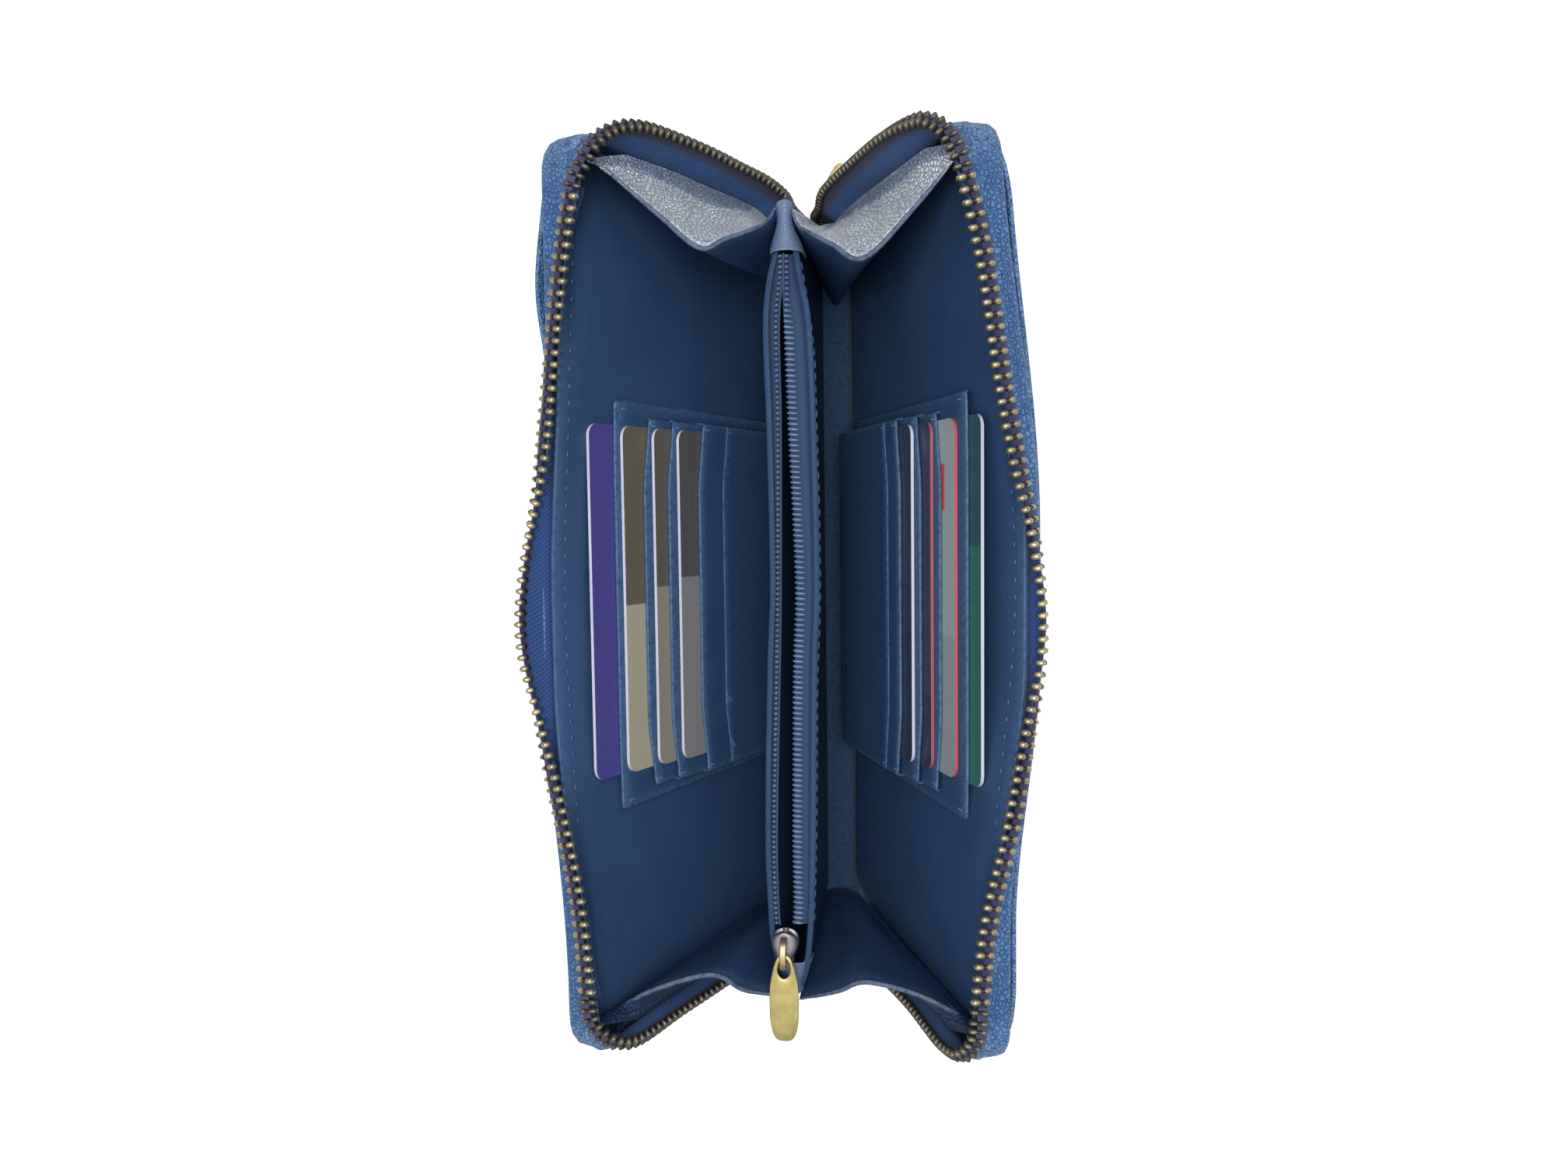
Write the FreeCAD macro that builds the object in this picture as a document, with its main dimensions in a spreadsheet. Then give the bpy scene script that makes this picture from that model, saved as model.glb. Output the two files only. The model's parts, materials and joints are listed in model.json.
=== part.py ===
import FreeCAD, Part
import math
import os
from FreeCAD import Placement, Rotation, Vector
from Sketcher import Constraint

# Zip-around passport and travel wallet, standing on its spine with both covers opened to a V.
# Millimetres.  +Z is up, Y runs along the spine, X runs across from the left cover to the right.
# The origin is at the middle of the spine's underside.
# Depth is counted inwards from a cover's outer face, height from its hinge crease up to its rim.

doc = FreeCAD.newDocument("TravelWallet")

# ---------------------------------------------------------------- driving sizes

SIZES = [
    # covers
    ("half_length", 103.5), ("cover_height", 110.0), ("rim_radius", 12.0), ("end_curl", 4.3),
    ("rest_angle", 22.0), ("hinge_offset", 14.0), ("hinge_level", 3.0),
    ("leather_wall", 1.4), ("board_wall", 1.2), ("lining_wall", 0.7), ("layer_gap", 0.1),
    ("band_wall", 1.2), ("band_depth", 4.0), ("band_bottom", 1.5),
    ("slip_wall", 1.1), ("slip_gap", 0.3), ("slip_inset", 3.0), ("slip_bottom", 6.0), ("slip_drop", 9.0),
    ("bill_wall", 0.8), ("bill_gap", 0.6), ("bill_inset", 6.5), ("bill_bottom", 4.0), ("bill_drop", 7.0),
    # cards and their slots
    ("card_length", 85.6), ("card_height", 54.0), ("card_thickness", 0.76), ("card_corner", 3.18),
    ("card_centre", -1.0), ("card_one_top", 99.8), ("card_two_top", 89.3), ("card_three_top", 79.0),
    ("card_four_top", 70.8), ("slot_pitch", 1.8), ("card_gap", 0.19), ("first_card_depth", 5.8),
    ("strip_wall", 0.7), ("strip_length", 101.0), ("strip_centre", -2.5), ("strip_seam", 2.0),
    ("strip_lap", 1.0), ("last_strip_top", 60.0), ("strip_corner", 2.5),
    # spine
    ("spine_wall", 1.5), ("spine_lip", 1.4), ("spine_lip_drop", 0.3), ("spine_round", 1.3),
    ("spine_board_wall", 0.8), ("spine_board_inset", 2.5), ("spine_lining_wall", 0.5),
    ("spine_lining_half", 9.3),
    # coin pocket
    ("pocket_front_gap", 2.0), ("pocket_rear_gap", 8.0), ("pocket_wall", 0.7),
    ("pocket_foot_half", 1.5), ("pocket_foot_height", 1.4), ("pocket_top", 81.5),
    ("pocket_mid_half", 4.0), ("pocket_end_half", 2.2),
    ("coin_tape_wall", 0.5), ("coin_tape_height", 3.0), ("coil_radius", 0.8),
    ("cap_length", 13.0), ("tail_cap_length", 9.0), ("cap_wall", 0.5), ("cap_drop", 5.5),
    ("cap_rise", 4.0), ("cap_gap", 0.2), ("cap_side_gap", 0.6), ("cap_round", 1.2),
    # main zip
    ("tape_wall", 0.6), ("tooth_length", 3.8), ("tooth_thickness", 1.1), ("tooth_height", 2.4),
    ("tooth_pitch", 2.6), ("chain_mid_reach", 6.5), ("chain_end_reach", 2.9),
    ("chain_mid_lean", -52.0), ("chain_end_lean", 135.0), ("flare_start", 25.3), ("flare_run", 59.7),
    ("chain_corner", 11.5), ("chain_corner_rise", 0.8), ("end_chain_inset", 0.6), ("chain_gap", 0.3),
    ("end_tape_gap", 0.9),
    # gussets
    ("gusset_wall", 1.0), ("gusset_gap", 0.7), ("gusset_rim_gap", 6.5), ("gusset_rim_drop", 1.5),
    ("gusset_foot_reach", 6.0), ("gusset_foot_inset", 2.0), ("gusset_seam_inset", 1.2),
    ("gusset_top_inset", 2.5), ("gusset_top_rise", 2.5),
    ("rear_fold_reach", 19.5), ("rear_fold_inset", 23.5), ("rear_fold_drop", 11.0),
    ("front_fold_reach", 20.0), ("front_fold_inset", 10.5), ("front_fold_drop", 19.0),
    # sliders and pulls
    ("coin_slider_length", 9.0), ("coin_slider_width", 6.6), ("coin_channel", 2.0),
    ("coin_plate", 1.0), ("coin_slider_gap", 0.2),
    ("main_slider_length", 11.0), ("main_slider_width", 9.0), ("main_channel", 2.8),
    ("main_plate", 1.1), ("main_slider_level", 3.2),
    ("bridge_width", 1.5), ("bridge_wall", 0.8), ("bridge_rise", 2.6), ("bridge_tail", 0.6),
    ("bridge_nose", 1.2), ("wedge_length", 2.25),
    ("pull_wall", 1.0), ("pull_bar", 1.3), ("pull_gap", 0.3), ("pull_hole_width", 3.6),
    ("pull_hole_length", 4.7),
    ("coin_pull_length", 21.6), ("coin_pull_width", 7.2),
    ("main_pull_length", 17.0), ("main_pull_width", 6.0), ("main_pull_drop", 18.5),
    ("main_pull_swing", 22.0),
]

sizes = doc.addObject("Spreadsheet::Sheet", "Sizes")
for row, (alias, value) in enumerate(SIZES, start=1):
    sizes.set(f"A{row}", alias)
    sizes.set(f"B{row}", str(value))
    sizes.setAlias(f"B{row}", alias)
doc.recompute()


def mm(alias):
    """The present value of a driving size."""
    return float(sizes.get(alias))


HALF = mm("half_length")
HEIGHT = mm("cover_height")
SIDES = (("left", -1), ("right", 1))
ENDS = (("front", -1), ("rear", 1))
SUBPARTS = []


def keep(part, label):
    """Names a finished sub-part, so that it is written as a file of its own."""
    part.Label = label
    SUBPARTS.append(part)
    return part


def feature(label, shape, placement=None):
    """A sub-part whose shape is worked out from the sheet's values."""
    part = doc.addObject("Part::Feature", label)
    part.Shape = shape
    part.Placement = placement or Placement()
    return keep(part, label)


# ---------------------------------------------------------------- cover frame

def cover_placement(side):
    """A cover's own frame: origin on its hinge crease, Z up the cover, leaning out by the rest angle."""
    turn = Rotation(Vector(0, side, 0), mm("rest_angle"))
    return Placement(Vector(side * mm("hinge_offset"), 0, mm("hinge_level")), turn)


def tie_to_cover(part, side):
    """Binds a sub-part's placement to the hinge sizes."""
    part.Placement = cover_placement(side)
    part.setExpression("Placement.Base.x", f"{side} * Sizes.hinge_offset")
    part.setExpression("Placement.Base.z", "Sizes.hinge_level")
    part.setExpression("Placement.Rotation.Angle", "Sizes.rest_angle")


def on_cover(side, depth, along, height):
    """A point of the cover's own frame, from its depth below the outer face."""
    return Vector(-side * depth, along, height)


def in_world(side, depth, along, height):
    return cover_placement(side).multVec(on_cover(side, depth, along, height))


def curl_at(along, height):
    """How far a cover's ends curl inwards, at one place along and up the cover."""
    return mm("end_curl") * (along / HALF) ** 2 * height / HEIGHT


# ---------------------------------------------------------------- shape helpers

def polygon(points):
    return Part.makePolygon(list(points) + [points[0]])


def smooth_edge(points):
    curve = Part.BSplineCurve()
    curve.interpolate(points)
    return curve.toShape()


def bowed_outline(point, half, low, high, bow, shift=0.0):
    """One level of a layer between two depths, whose ends stand inwards of its middle by the bow."""
    def side_edge(depth):
        ends = point(shift - half, depth + bow), point(shift + half, depth + bow)
        if abs(bow) < 1e-9:
            return Part.LineSegment(*ends)
        return Part.Arc(ends[0], point(shift, depth), ends[1])
    far, near = side_edge(high), side_edge(low)
    edges = [
        near.toShape(),
        Part.LineSegment(near.EndPoint, far.EndPoint).toShape(),
        far.toShape(),
        Part.LineSegment(far.StartPoint, near.StartPoint).toShape(),
    ]
    return Part.Wire(Part.__sortEdges__(edges))


def cover_slab(side, low, high):
    """The whole of a cover between two depths, flat at the hinge and curled at the rim's ends."""
    over = 1.0 + mm("chain_corner") / HEIGHT
    wires = []
    for share in (0.0, over):
        level = HEIGHT * share
        bow = mm("end_curl") * share
        wires.append(bowed_outline(lambda y, d: on_cover(side, d, y, level), HALF, low, high, bow))
    return Part.makeLoft(wires, True, True)


def cover_prism(inset, bottom, top, radius):
    """A block through a cover's depth, with a panel's outline: square at the hinge, round at the rim."""
    half = HALF - inset
    reach = HEIGHT / 2
    bulge = radius * (1 - math.sqrt(0.5))
    corner = [(half, bottom), (half, top - radius), (half - bulge, top - bulge), (half - radius, top)]
    right = [Vector(-reach, y, z) for y, z in corner]
    left = [Vector(-reach, -y, z) for y, z in corner]
    edges = [
        Part.LineSegment(left[0], right[0]).toShape(),
        Part.LineSegment(right[0], right[1]).toShape(),
        Part.Arc(right[1], right[2], right[3]).toShape(),
        Part.LineSegment(right[3], left[3]).toShape(),
        Part.Arc(left[3], left[2], left[1]).toShape(),
        Part.LineSegment(left[1], left[0]).toShape(),
    ]
    return Part.Face(Part.Wire(edges)).extrude(Vector(2 * reach, 0, 0))


def cover_layer(side, low, high, inset, bottom, top):
    radius = max(mm("rim_radius") - inset, mm("band_wall"))
    return cover_slab(side, low, high).common(cover_prism(inset, bottom, top, radius))


# ---------------------------------------------------------------- sketches

def add_body(label):
    body = doc.addObject("PartDesign::Body", label)
    return keep(body, label)


def add_sketch(body, plane, name, level="0"):
    """A sketch on one of the body's own origin planes, lifted off it by a level."""
    sketch = body.newObject("Sketcher::SketchObject", name)
    origin = [f for f in body.Origin.OriginFeatures if f.Role == plane][0]
    sketch.AttachmentSupport = [(origin, "")]
    sketch.MapMode = "FlatFace"
    sketch.setExpression("AttachmentOffset.Base.z", level)
    return sketch


def add_box_outline(sketch, low_x, high_x, low_y, high_y):
    """A rectangle whose four sides are each bound to an expression."""
    corners = [Vector(-1, -1, 0), Vector(1, -1, 0), Vector(1, 1, 0), Vector(-1, 1, 0)]
    first = sketch.GeometryCount
    for index in range(4):
        sketch.addGeometry(Part.LineSegment(corners[index], corners[(index + 1) % 4]), False)
    for index in range(4):
        sketch.addConstraint(Constraint("Coincident", first + index, 2, first + (index + 1) % 4, 1))
    sketch.addConstraint(Constraint("Horizontal", first))
    sketch.addConstraint(Constraint("Vertical", first + 1))
    sketch.addConstraint(Constraint("Horizontal", first + 2))
    sketch.addConstraint(Constraint("Vertical", first + 3))
    bounds = (("DistanceX", 0, 1, low_x), ("DistanceX", 1, 1, high_x),
              ("DistanceY", 0, 1, low_y), ("DistanceY", 2, 1, high_y))
    for kind, line, end, bound in bounds:
        start = corners[line].x if kind == "DistanceX" else corners[line].y
        place = sketch.addConstraint(Constraint(kind, -1, 1, first + line, end, start))
        sketch.setExpression(f"Constraints[{place}]", bound)


def add_pad(body, sketch, name, length, both_ways=False):
    pad = body.newObject("PartDesign::Pad", name)
    pad.Profile = sketch
    pad.setExpression("Length", length)
    pad.Midplane = both_ways
    return pad


def round_edges(body, base, name, radius, chosen):
    """Fillets the edges of a body's last feature that a test picks out."""
    doc.recompute()
    edges = [f"Edge{n}" for n, edge in enumerate(base.Shape.Edges, start=1) if chosen(edge)]
    fillet = body.newObject("PartDesign::Fillet", name)
    fillet.Base = (base, edges)
    fillet.setExpression("Radius", radius)
    body.Tip = fillet
    return fillet


def runs_along(edge, direction):
    if edge.Curve.TypeId != "Part::GeomLine":
        return False
    line = edge.Vertexes[-1].Point - edge.Vertexes[0].Point
    return abs(line.normalize().dot(direction)) > 0.999


# ---------------------------------------------------------------- spine

def make_spine():
    """The leather back that the wallet stands on, with its stiffener and lining."""
    leather = add_body("spine_leather")
    floor = add_sketch(leather, "XY_Plane", "spine_floor")
    add_box_outline(floor, "-Sizes.hinge_offset", "Sizes.hinge_offset",
                    "-Sizes.half_length", "Sizes.half_length")
    add_pad(leather, floor, "spine_block", "Sizes.hinge_level - Sizes.spine_lip_drop")
    hollow = add_sketch(leather, "XY_Plane", "spine_hollow", "Sizes.spine_wall")
    add_box_outline(hollow, "-(Sizes.hinge_offset - Sizes.spine_lip)", "Sizes.hinge_offset - Sizes.spine_lip",
                    "-2 * Sizes.half_length", "2 * Sizes.half_length")
    channel = leather.newObject("PartDesign::Pocket", "spine_channel")
    channel.Profile = hollow
    channel.Reversed = True
    channel.setExpression("Length", "Sizes.hinge_level")
    round_edges(leather, channel, "spine_corners", "Sizes.spine_round",
                lambda e: runs_along(e, Vector(0, 1, 0)) and e.CenterOfMass.z < mm("spine_wall") / 10)

    board_end = "(Sizes.half_length - Sizes.spine_board_inset)"
    board = add_body("spine_board")
    outline = add_sketch(board, "XY_Plane", "spine_board_outline", "Sizes.spine_wall + Sizes.layer_gap / 2")
    add_box_outline(outline, "-(Sizes.hinge_offset - Sizes.spine_lip - Sizes.layer_gap)",
                    "Sizes.hinge_offset - Sizes.spine_lip - Sizes.layer_gap",
                    f"-{board_end}", board_end)
    add_pad(board, outline, "spine_board_pad", "Sizes.spine_board_wall")

    lining = add_body("spine_lining")
    outline = add_sketch(lining, "XY_Plane", "spine_lining_outline",
                         "Sizes.spine_wall + Sizes.spine_board_wall + Sizes.layer_gap")
    add_box_outline(outline, "-Sizes.spine_lining_half", "Sizes.spine_lining_half",
                    f"-{board_end}", board_end)
    add_pad(lining, outline, "spine_lining_pad", "Sizes.spine_lining_wall")


# ---------------------------------------------------------------- covers

def make_cover(name, side):
    """The layers of one cover, from its outer slip pocket in to its full-length bill pocket."""
    lean = cover_placement(side)
    gap = mm("layer_gap")
    leather = mm("leather_wall")
    board = leather + gap
    lining = board + mm("board_wall") + gap
    bill = lining + mm("lining_wall") + mm("bill_gap")
    inside = mm("band_wall") + gap
    foot, crown = mm("band_bottom"), HEIGHT - inside

    feature(f"{name}_cover_leather", cover_layer(side, 0, leather, 0, 0, HEIGHT), lean)

    ring = cover_prism(0, mm("band_bottom"), HEIGHT, mm("rim_radius")).cut(
        cover_prism(mm("band_wall"), -HEIGHT, HEIGHT - mm("band_wall"), mm("rim_radius") - mm("band_wall")))
    feature(f"{name}_rim_band", cover_slab(side, leather, mm("band_depth")).common(ring), lean)

    feature(f"{name}_cover_board",
            cover_layer(side, board, board + mm("board_wall"), inside, foot, crown), lean)
    feature(f"{name}_cover_lining",
            cover_layer(side, lining, lining + mm("lining_wall"), inside, foot, crown), lean)

    out = mm("slip_gap") + mm("slip_wall")
    feature(f"{name}_slip_pocket",
            cover_layer(side, -out, -mm("slip_gap"), mm("slip_inset"), mm("slip_bottom"),
                        HEIGHT - mm("slip_drop")),
            lean)
    feature(f"{name}_bill_pocket",
            cover_layer(side, bill, bill + mm("bill_wall"), mm("bill_inset"), mm("bill_bottom"),
                        HEIGHT - mm("bill_drop")),
            lean)


# ---------------------------------------------------------------- card slots and cards

CARD_TOPS = ("card_one_top", "card_two_top", "card_three_top", "card_four_top")
STRIP_TOPS = ("Sizes.card_two_top + Sizes.strip_lap", "Sizes.card_three_top + Sizes.strip_lap",
              "Sizes.card_four_top + Sizes.strip_lap", "Sizes.last_strip_top")


def face_level(side, depth, wall):
    """The sketch level of a flat piece: its low face in X, for either cover."""
    return f"-({depth} + {wall})" if side > 0 else depth


def make_slots(name, side):
    """Four stepped strips, each holding one card behind it, sewn down along one bottom seam."""
    for index, top in enumerate(STRIP_TOPS):
        depth = (f"(Sizes.first_card_depth + {index} * Sizes.slot_pitch"
                 " + Sizes.card_thickness + Sizes.card_gap)")
        strip = add_body(f"{name}_slot_strip_{index + 1}")
        outline = add_sketch(strip, "YZ_Plane", f"{name}_strip_outline_{index + 1}",
                             face_level(side, depth, "Sizes.strip_wall"))
        add_box_outline(outline, "Sizes.strip_centre - Sizes.strip_length / 2",
                        "Sizes.strip_centre + Sizes.strip_length / 2",
                        "Sizes.card_four_top - Sizes.card_height - Sizes.strip_seam", top)
        pad = add_pad(strip, outline, f"{name}_strip_pad_{index + 1}", "Sizes.strip_wall")
        round_edges(strip, pad, f"{name}_strip_corners_{index + 1}", "Sizes.strip_corner",
                    lambda e: runs_along(e, Vector(1, 0, 0))
                    and e.CenterOfMass.z > mm("last_strip_top") - mm("strip_corner"))
        tie_to_cover(strip, side)


def make_cards(name, side):
    """Four plain cards of the common bank-card size."""
    for index, top in enumerate(CARD_TOPS):
        depth = f"(Sizes.first_card_depth + {index} * Sizes.slot_pitch)"
        card = add_body(f"{name}_card_{index + 1}")
        outline = add_sketch(card, "YZ_Plane", f"{name}_card_outline_{index + 1}",
                             face_level(side, depth, "Sizes.card_thickness"))
        add_box_outline(outline, "Sizes.card_centre - Sizes.card_length / 2",
                        "Sizes.card_centre + Sizes.card_length / 2",
                        f"Sizes.{top} - Sizes.card_height", f"Sizes.{top}")
        pad = add_pad(card, outline, f"{name}_card_pad_{index + 1}", "Sizes.card_thickness")
        round_edges(card, pad, f"{name}_card_corners_{index + 1}", "Sizes.card_corner",
                    lambda e: runs_along(e, Vector(1, 0, 0)))
        tie_to_cover(card, side)


# ---------------------------------------------------------------- coin pocket

POCKET_FOOT = mm("spine_wall") + mm("spine_board_wall") + mm("layer_gap") + mm("spine_lining_wall")
COIL_LEVEL = mm("pocket_top") + mm("coin_tape_height") + mm("coil_radius")
POCKET_FRONT = mm("pocket_front_gap") - HALF
POCKET_REAR = HALF - mm("pocket_rear_gap")
POCKET_CENTRE = (POCKET_FRONT + POCKET_REAR) / 2
POCKET_HALF = (POCKET_REAR - POCKET_FRONT) / 2
POCKET_BOW = mm("pocket_end_half") - mm("pocket_mid_half")
POCKET_START = "(Sizes.pocket_front_gap - Sizes.half_length)"
POCKET_STOP = "(Sizes.half_length - Sizes.pocket_rear_gap)"


def pocket_level(side, level, outer, wall, bow, half, shift):
    return bowed_outline(lambda y, x: Vector(side * x, y, level), half, outer - wall, outer, bow, shift)


def pocket_half_at(along):
    """Half the pocket's width along its top edge."""
    share = (along - POCKET_CENTRE) / POCKET_HALF
    return mm("pocket_mid_half") + POCKET_BOW * share ** 2


def coin_slider_back():
    """Where the parked slider starts, just clear of the tail cap."""
    return POCKET_FRONT + mm("tail_cap_length") + mm("coin_slider_gap")


def make_coin_pocket():
    """Two walls on a folded foot, bowed apart along the open zip, with leather caps over the ends."""
    foot = add_body("coin_pocket_foot")
    outline = add_sketch(foot, "XY_Plane", "pocket_foot_outline",
                         "Sizes.spine_wall + Sizes.spine_board_wall + Sizes.layer_gap + Sizes.spine_lining_wall")
    add_box_outline(outline, "-Sizes.pocket_foot_half", "Sizes.pocket_foot_half", POCKET_START, POCKET_STOP)
    add_pad(foot, outline, "pocket_foot_pad", "Sizes.pocket_foot_height")

    start = coin_slider_back() + mm("coin_slider_length") + mm("coin_slider_gap")
    stop = POCKET_REAR - mm("cap_length") - mm("layer_gap")
    run, middle = (stop - start) / 2, (stop + start) / 2
    centre_half = pocket_half_at(middle) - mm("pocket_wall") / 2
    end_half = (pocket_half_at(start) + pocket_half_at(stop)) / 2 - mm("pocket_wall") / 2
    low = POCKET_FOOT + mm("pocket_foot_height")
    for name, side in SIDES:
        wires = [
            pocket_level(side, low, mm("pocket_foot_half"), mm("pocket_wall"), 0, POCKET_HALF, POCKET_CENTRE),
            pocket_level(side, mm("pocket_top"), mm("pocket_mid_half"), mm("pocket_wall"), POCKET_BOW,
                         POCKET_HALF, POCKET_CENTRE),
        ]
        feature(f"coin_pocket_{name}_wall", Part.makeLoft(wires, True, True))

        tape_wires = []
        for level in (mm("pocket_top") + mm("layer_gap") / 2, mm("pocket_top") + mm("coin_tape_height")):
            outer = centre_half + mm("coin_tape_wall") / 2
            tape_wires.append(
                pocket_level(side, level, outer, mm("coin_tape_wall"), end_half - centre_half, run, middle))
        feature(f"coin_zip_{name}_tape", Part.makeLoft(tape_wires, True, True))

        line = Part.Arc(Vector(side * end_half, start, COIL_LEVEL),
                        Vector(side * centre_half, middle, COIL_LEVEL),
                        Vector(side * end_half, stop, COIL_LEVEL)).toShape()
        ring = Part.Wire(Part.makeCircle(mm("coil_radius"), line.valueAt(line.FirstParameter),
                                         line.tangentAt(line.FirstParameter)))
        feature(f"coin_zip_{name}_coil", Part.Wire(line).makePipeShell([ring], True, False))

    caps = (
        ("rear", f"{POCKET_STOP} - Sizes.cap_length", POCKET_STOP),
        ("front", POCKET_START, f"{POCKET_START} + Sizes.tail_cap_length"),
    )
    for end, start, stop in caps:
        cap = add_body(f"coin_pocket_{end}_cap")
        outline = add_sketch(cap, "XY_Plane", f"{end}_cap_outline", "Sizes.pocket_top - Sizes.cap_drop")
        inner = "(Sizes.pocket_end_half + Sizes.cap_side_gap)"
        outer = "(Sizes.pocket_end_half + Sizes.cap_side_gap + Sizes.cap_wall)"
        add_box_outline(outline, f"-{outer}", outer, start, stop)
        block = add_pad(cap, outline, f"{end}_cap_block", "Sizes.cap_drop + Sizes.cap_rise")
        hollow = add_sketch(cap, "XY_Plane", f"{end}_cap_hollow", "Sizes.pocket_top - Sizes.cap_drop")
        add_box_outline(hollow, f"-{inner}", inner, f"({start}) - Sizes.cap_wall", f"({stop}) + Sizes.cap_wall")
        slot = cap.newObject("PartDesign::Pocket", f"{end}_cap_slot")
        slot.Profile = hollow
        slot.Reversed = True
        slot.setExpression("Length", "Sizes.cap_drop + Sizes.cap_gap")
        round_edges(cap, slot, f"{end}_cap_corners", "Sizes.cap_round",
                    lambda e: runs_along(e, Vector(0, 1, 0))
                    and e.CenterOfMass.z > mm("pocket_top") + mm("cap_rise") - mm("cap_gap"))


# ---------------------------------------------------------------- main zip

def flare_share(along):
    """0 at mid-length, where the zip stands out of the rim, and 1 near the ends, where it lies inwards."""
    share = min(max((abs(along) - mm("flare_start")) / mm("flare_run"), 0.0), 1.0)
    return share * share * (3 - 2 * share)


def tape_foot(along):
    """Depth and height of the seam where the long side's tape leaves the cover."""
    height = HEIGHT + mm("tape_wall")
    return mm("band_depth") + mm("layer_gap") + mm("tape_wall") / 2 + curl_at(along, height), height


def chain_on_cover(along):
    """Depth and height of the tooth row, which the tape holds off its seam at a lean from upright."""
    share = flare_share(along)
    foot_depth, foot_height = tape_foot(along)
    reach = mm("chain_mid_reach") + (mm("chain_end_reach") - mm("chain_mid_reach")) * share
    lean = math.radians(mm("chain_mid_lean") + (mm("chain_end_lean") - mm("chain_mid_lean")) * share)
    return foot_depth + reach * math.sin(lean), foot_height + reach * math.cos(lean)


def long_side_end():
    return HALF - mm("chain_corner")


def tape_section(side, along):
    """The tape's four corners at one place along the long side."""
    foot_depth, foot_height = tape_foot(along)
    depth, height = chain_on_cover(along)
    run = Vector(depth - foot_depth, 0, height - foot_height)
    reach = run.Length - mm("tooth_length") / 2 - mm("chain_gap")
    run.normalize()
    across = Vector(-run.z, 0, run.x) * (mm("tape_wall") / 2)
    root = Vector(foot_depth, 0, foot_height)
    tip = root + run * max(reach, mm("tape_wall"))
    corners = (root - across, tip - across, tip + across, root + across)
    return polygon([on_cover(side, c.x, along, c.z) for c in corners])


def tooth(centre, along, out):
    """One tooth: its thickness lies along the row and its length points back to the tape."""
    along = Vector(along).normalize()
    out = (out - along * out.dot(along)).normalize()
    up = out.cross(along)
    half = Vector(mm("tooth_length") / 2, mm("tooth_thickness") / 2, mm("tooth_height") / 2)
    block = Part.makeBox(2 * half.x, 2 * half.y, 2 * half.z, -half)
    matrix = FreeCAD.Matrix(out.x, along.x, up.x, centre.x, out.y, along.y, up.y, centre.y,
                            out.z, along.z, up.z, centre.z, 0, 0, 0, 1)
    block.Placement = Placement(matrix)
    return block


# How far round the rim corner the row's middle point lies, as shares of the corner, inward and onward.
CHAIN_CORNER_TURN = (0.25, 0.7)
# The row's fall down an end: the share of its height lost, and of its reach left.
CHAIN_FALL = ((0.28, 0.5), (0.52, 0.26), (0.78, 0.13))
# Where the end tape's seam is pinned down the cover's end, as shares of its height.
SEAM_SHARES = (0.66, 0.4, 0.2)


def end_chain_points(side, end):
    """The tooth row from the long side round the rim corner and down an end to the parked slider."""
    level = end * (HALF - mm("end_chain_inset"))
    depth, height = chain_on_cover(long_side_end())
    start = in_world(side, depth, end * long_side_end(), height)
    rim = start.z
    turn = mm("chain_corner")
    foot = mm("main_slider_level") + mm("main_slider_length") + mm("chain_gap") + mm("tooth_thickness")
    drop = rim - foot
    reach = abs(start.x) - turn
    low = mm("tooth_length") / 2 + mm("chain_gap")
    rise = mm("chain_corner_rise")
    inward, onward = CHAIN_CORNER_TURN
    points = [start,
              Vector(side * (abs(start.x) - inward * turn), start.y + end * onward * turn, rim + rise / 2),
              Vector(side * reach, level, rim + rise)]
    for share, width in CHAIN_FALL:
        points.append(Vector(side * (low + (reach - low) * width), level, rim - drop * share))
    points.append(Vector(side * low, level, foot))
    return points


def cover_end_seam(side, end):
    """The line that the end tape is sewn to: round the rim corner and down the cover's end."""
    radius = mm("rim_radius")
    inset = mm("band_wall") + mm("layer_gap")
    top = HEIGHT - inset
    half = HALF - mm("end_chain_inset")
    bulge = radius * (1 - math.sqrt(0.5))
    places = [(long_side_end(), top), (half - bulge, top - bulge), (half, top - radius)]
    places += [(half, share * top) for share in SEAM_SHARES]
    places.append((half, mm("bill_bottom")))
    points = []
    for along, height in places:
        depth = mm("band_depth") + mm("layer_gap") + mm("tape_wall") + curl_at(along, height)
        points.append(in_world(side, depth, end * along, height))
    return points


def every_other(points):
    """Fewer points for a calmer curve, with both ends kept."""
    return points[:-1:2] + [points[-1]]


# Cross-sections along the long side's tape.
TAPE_STATIONS = 36


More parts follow.
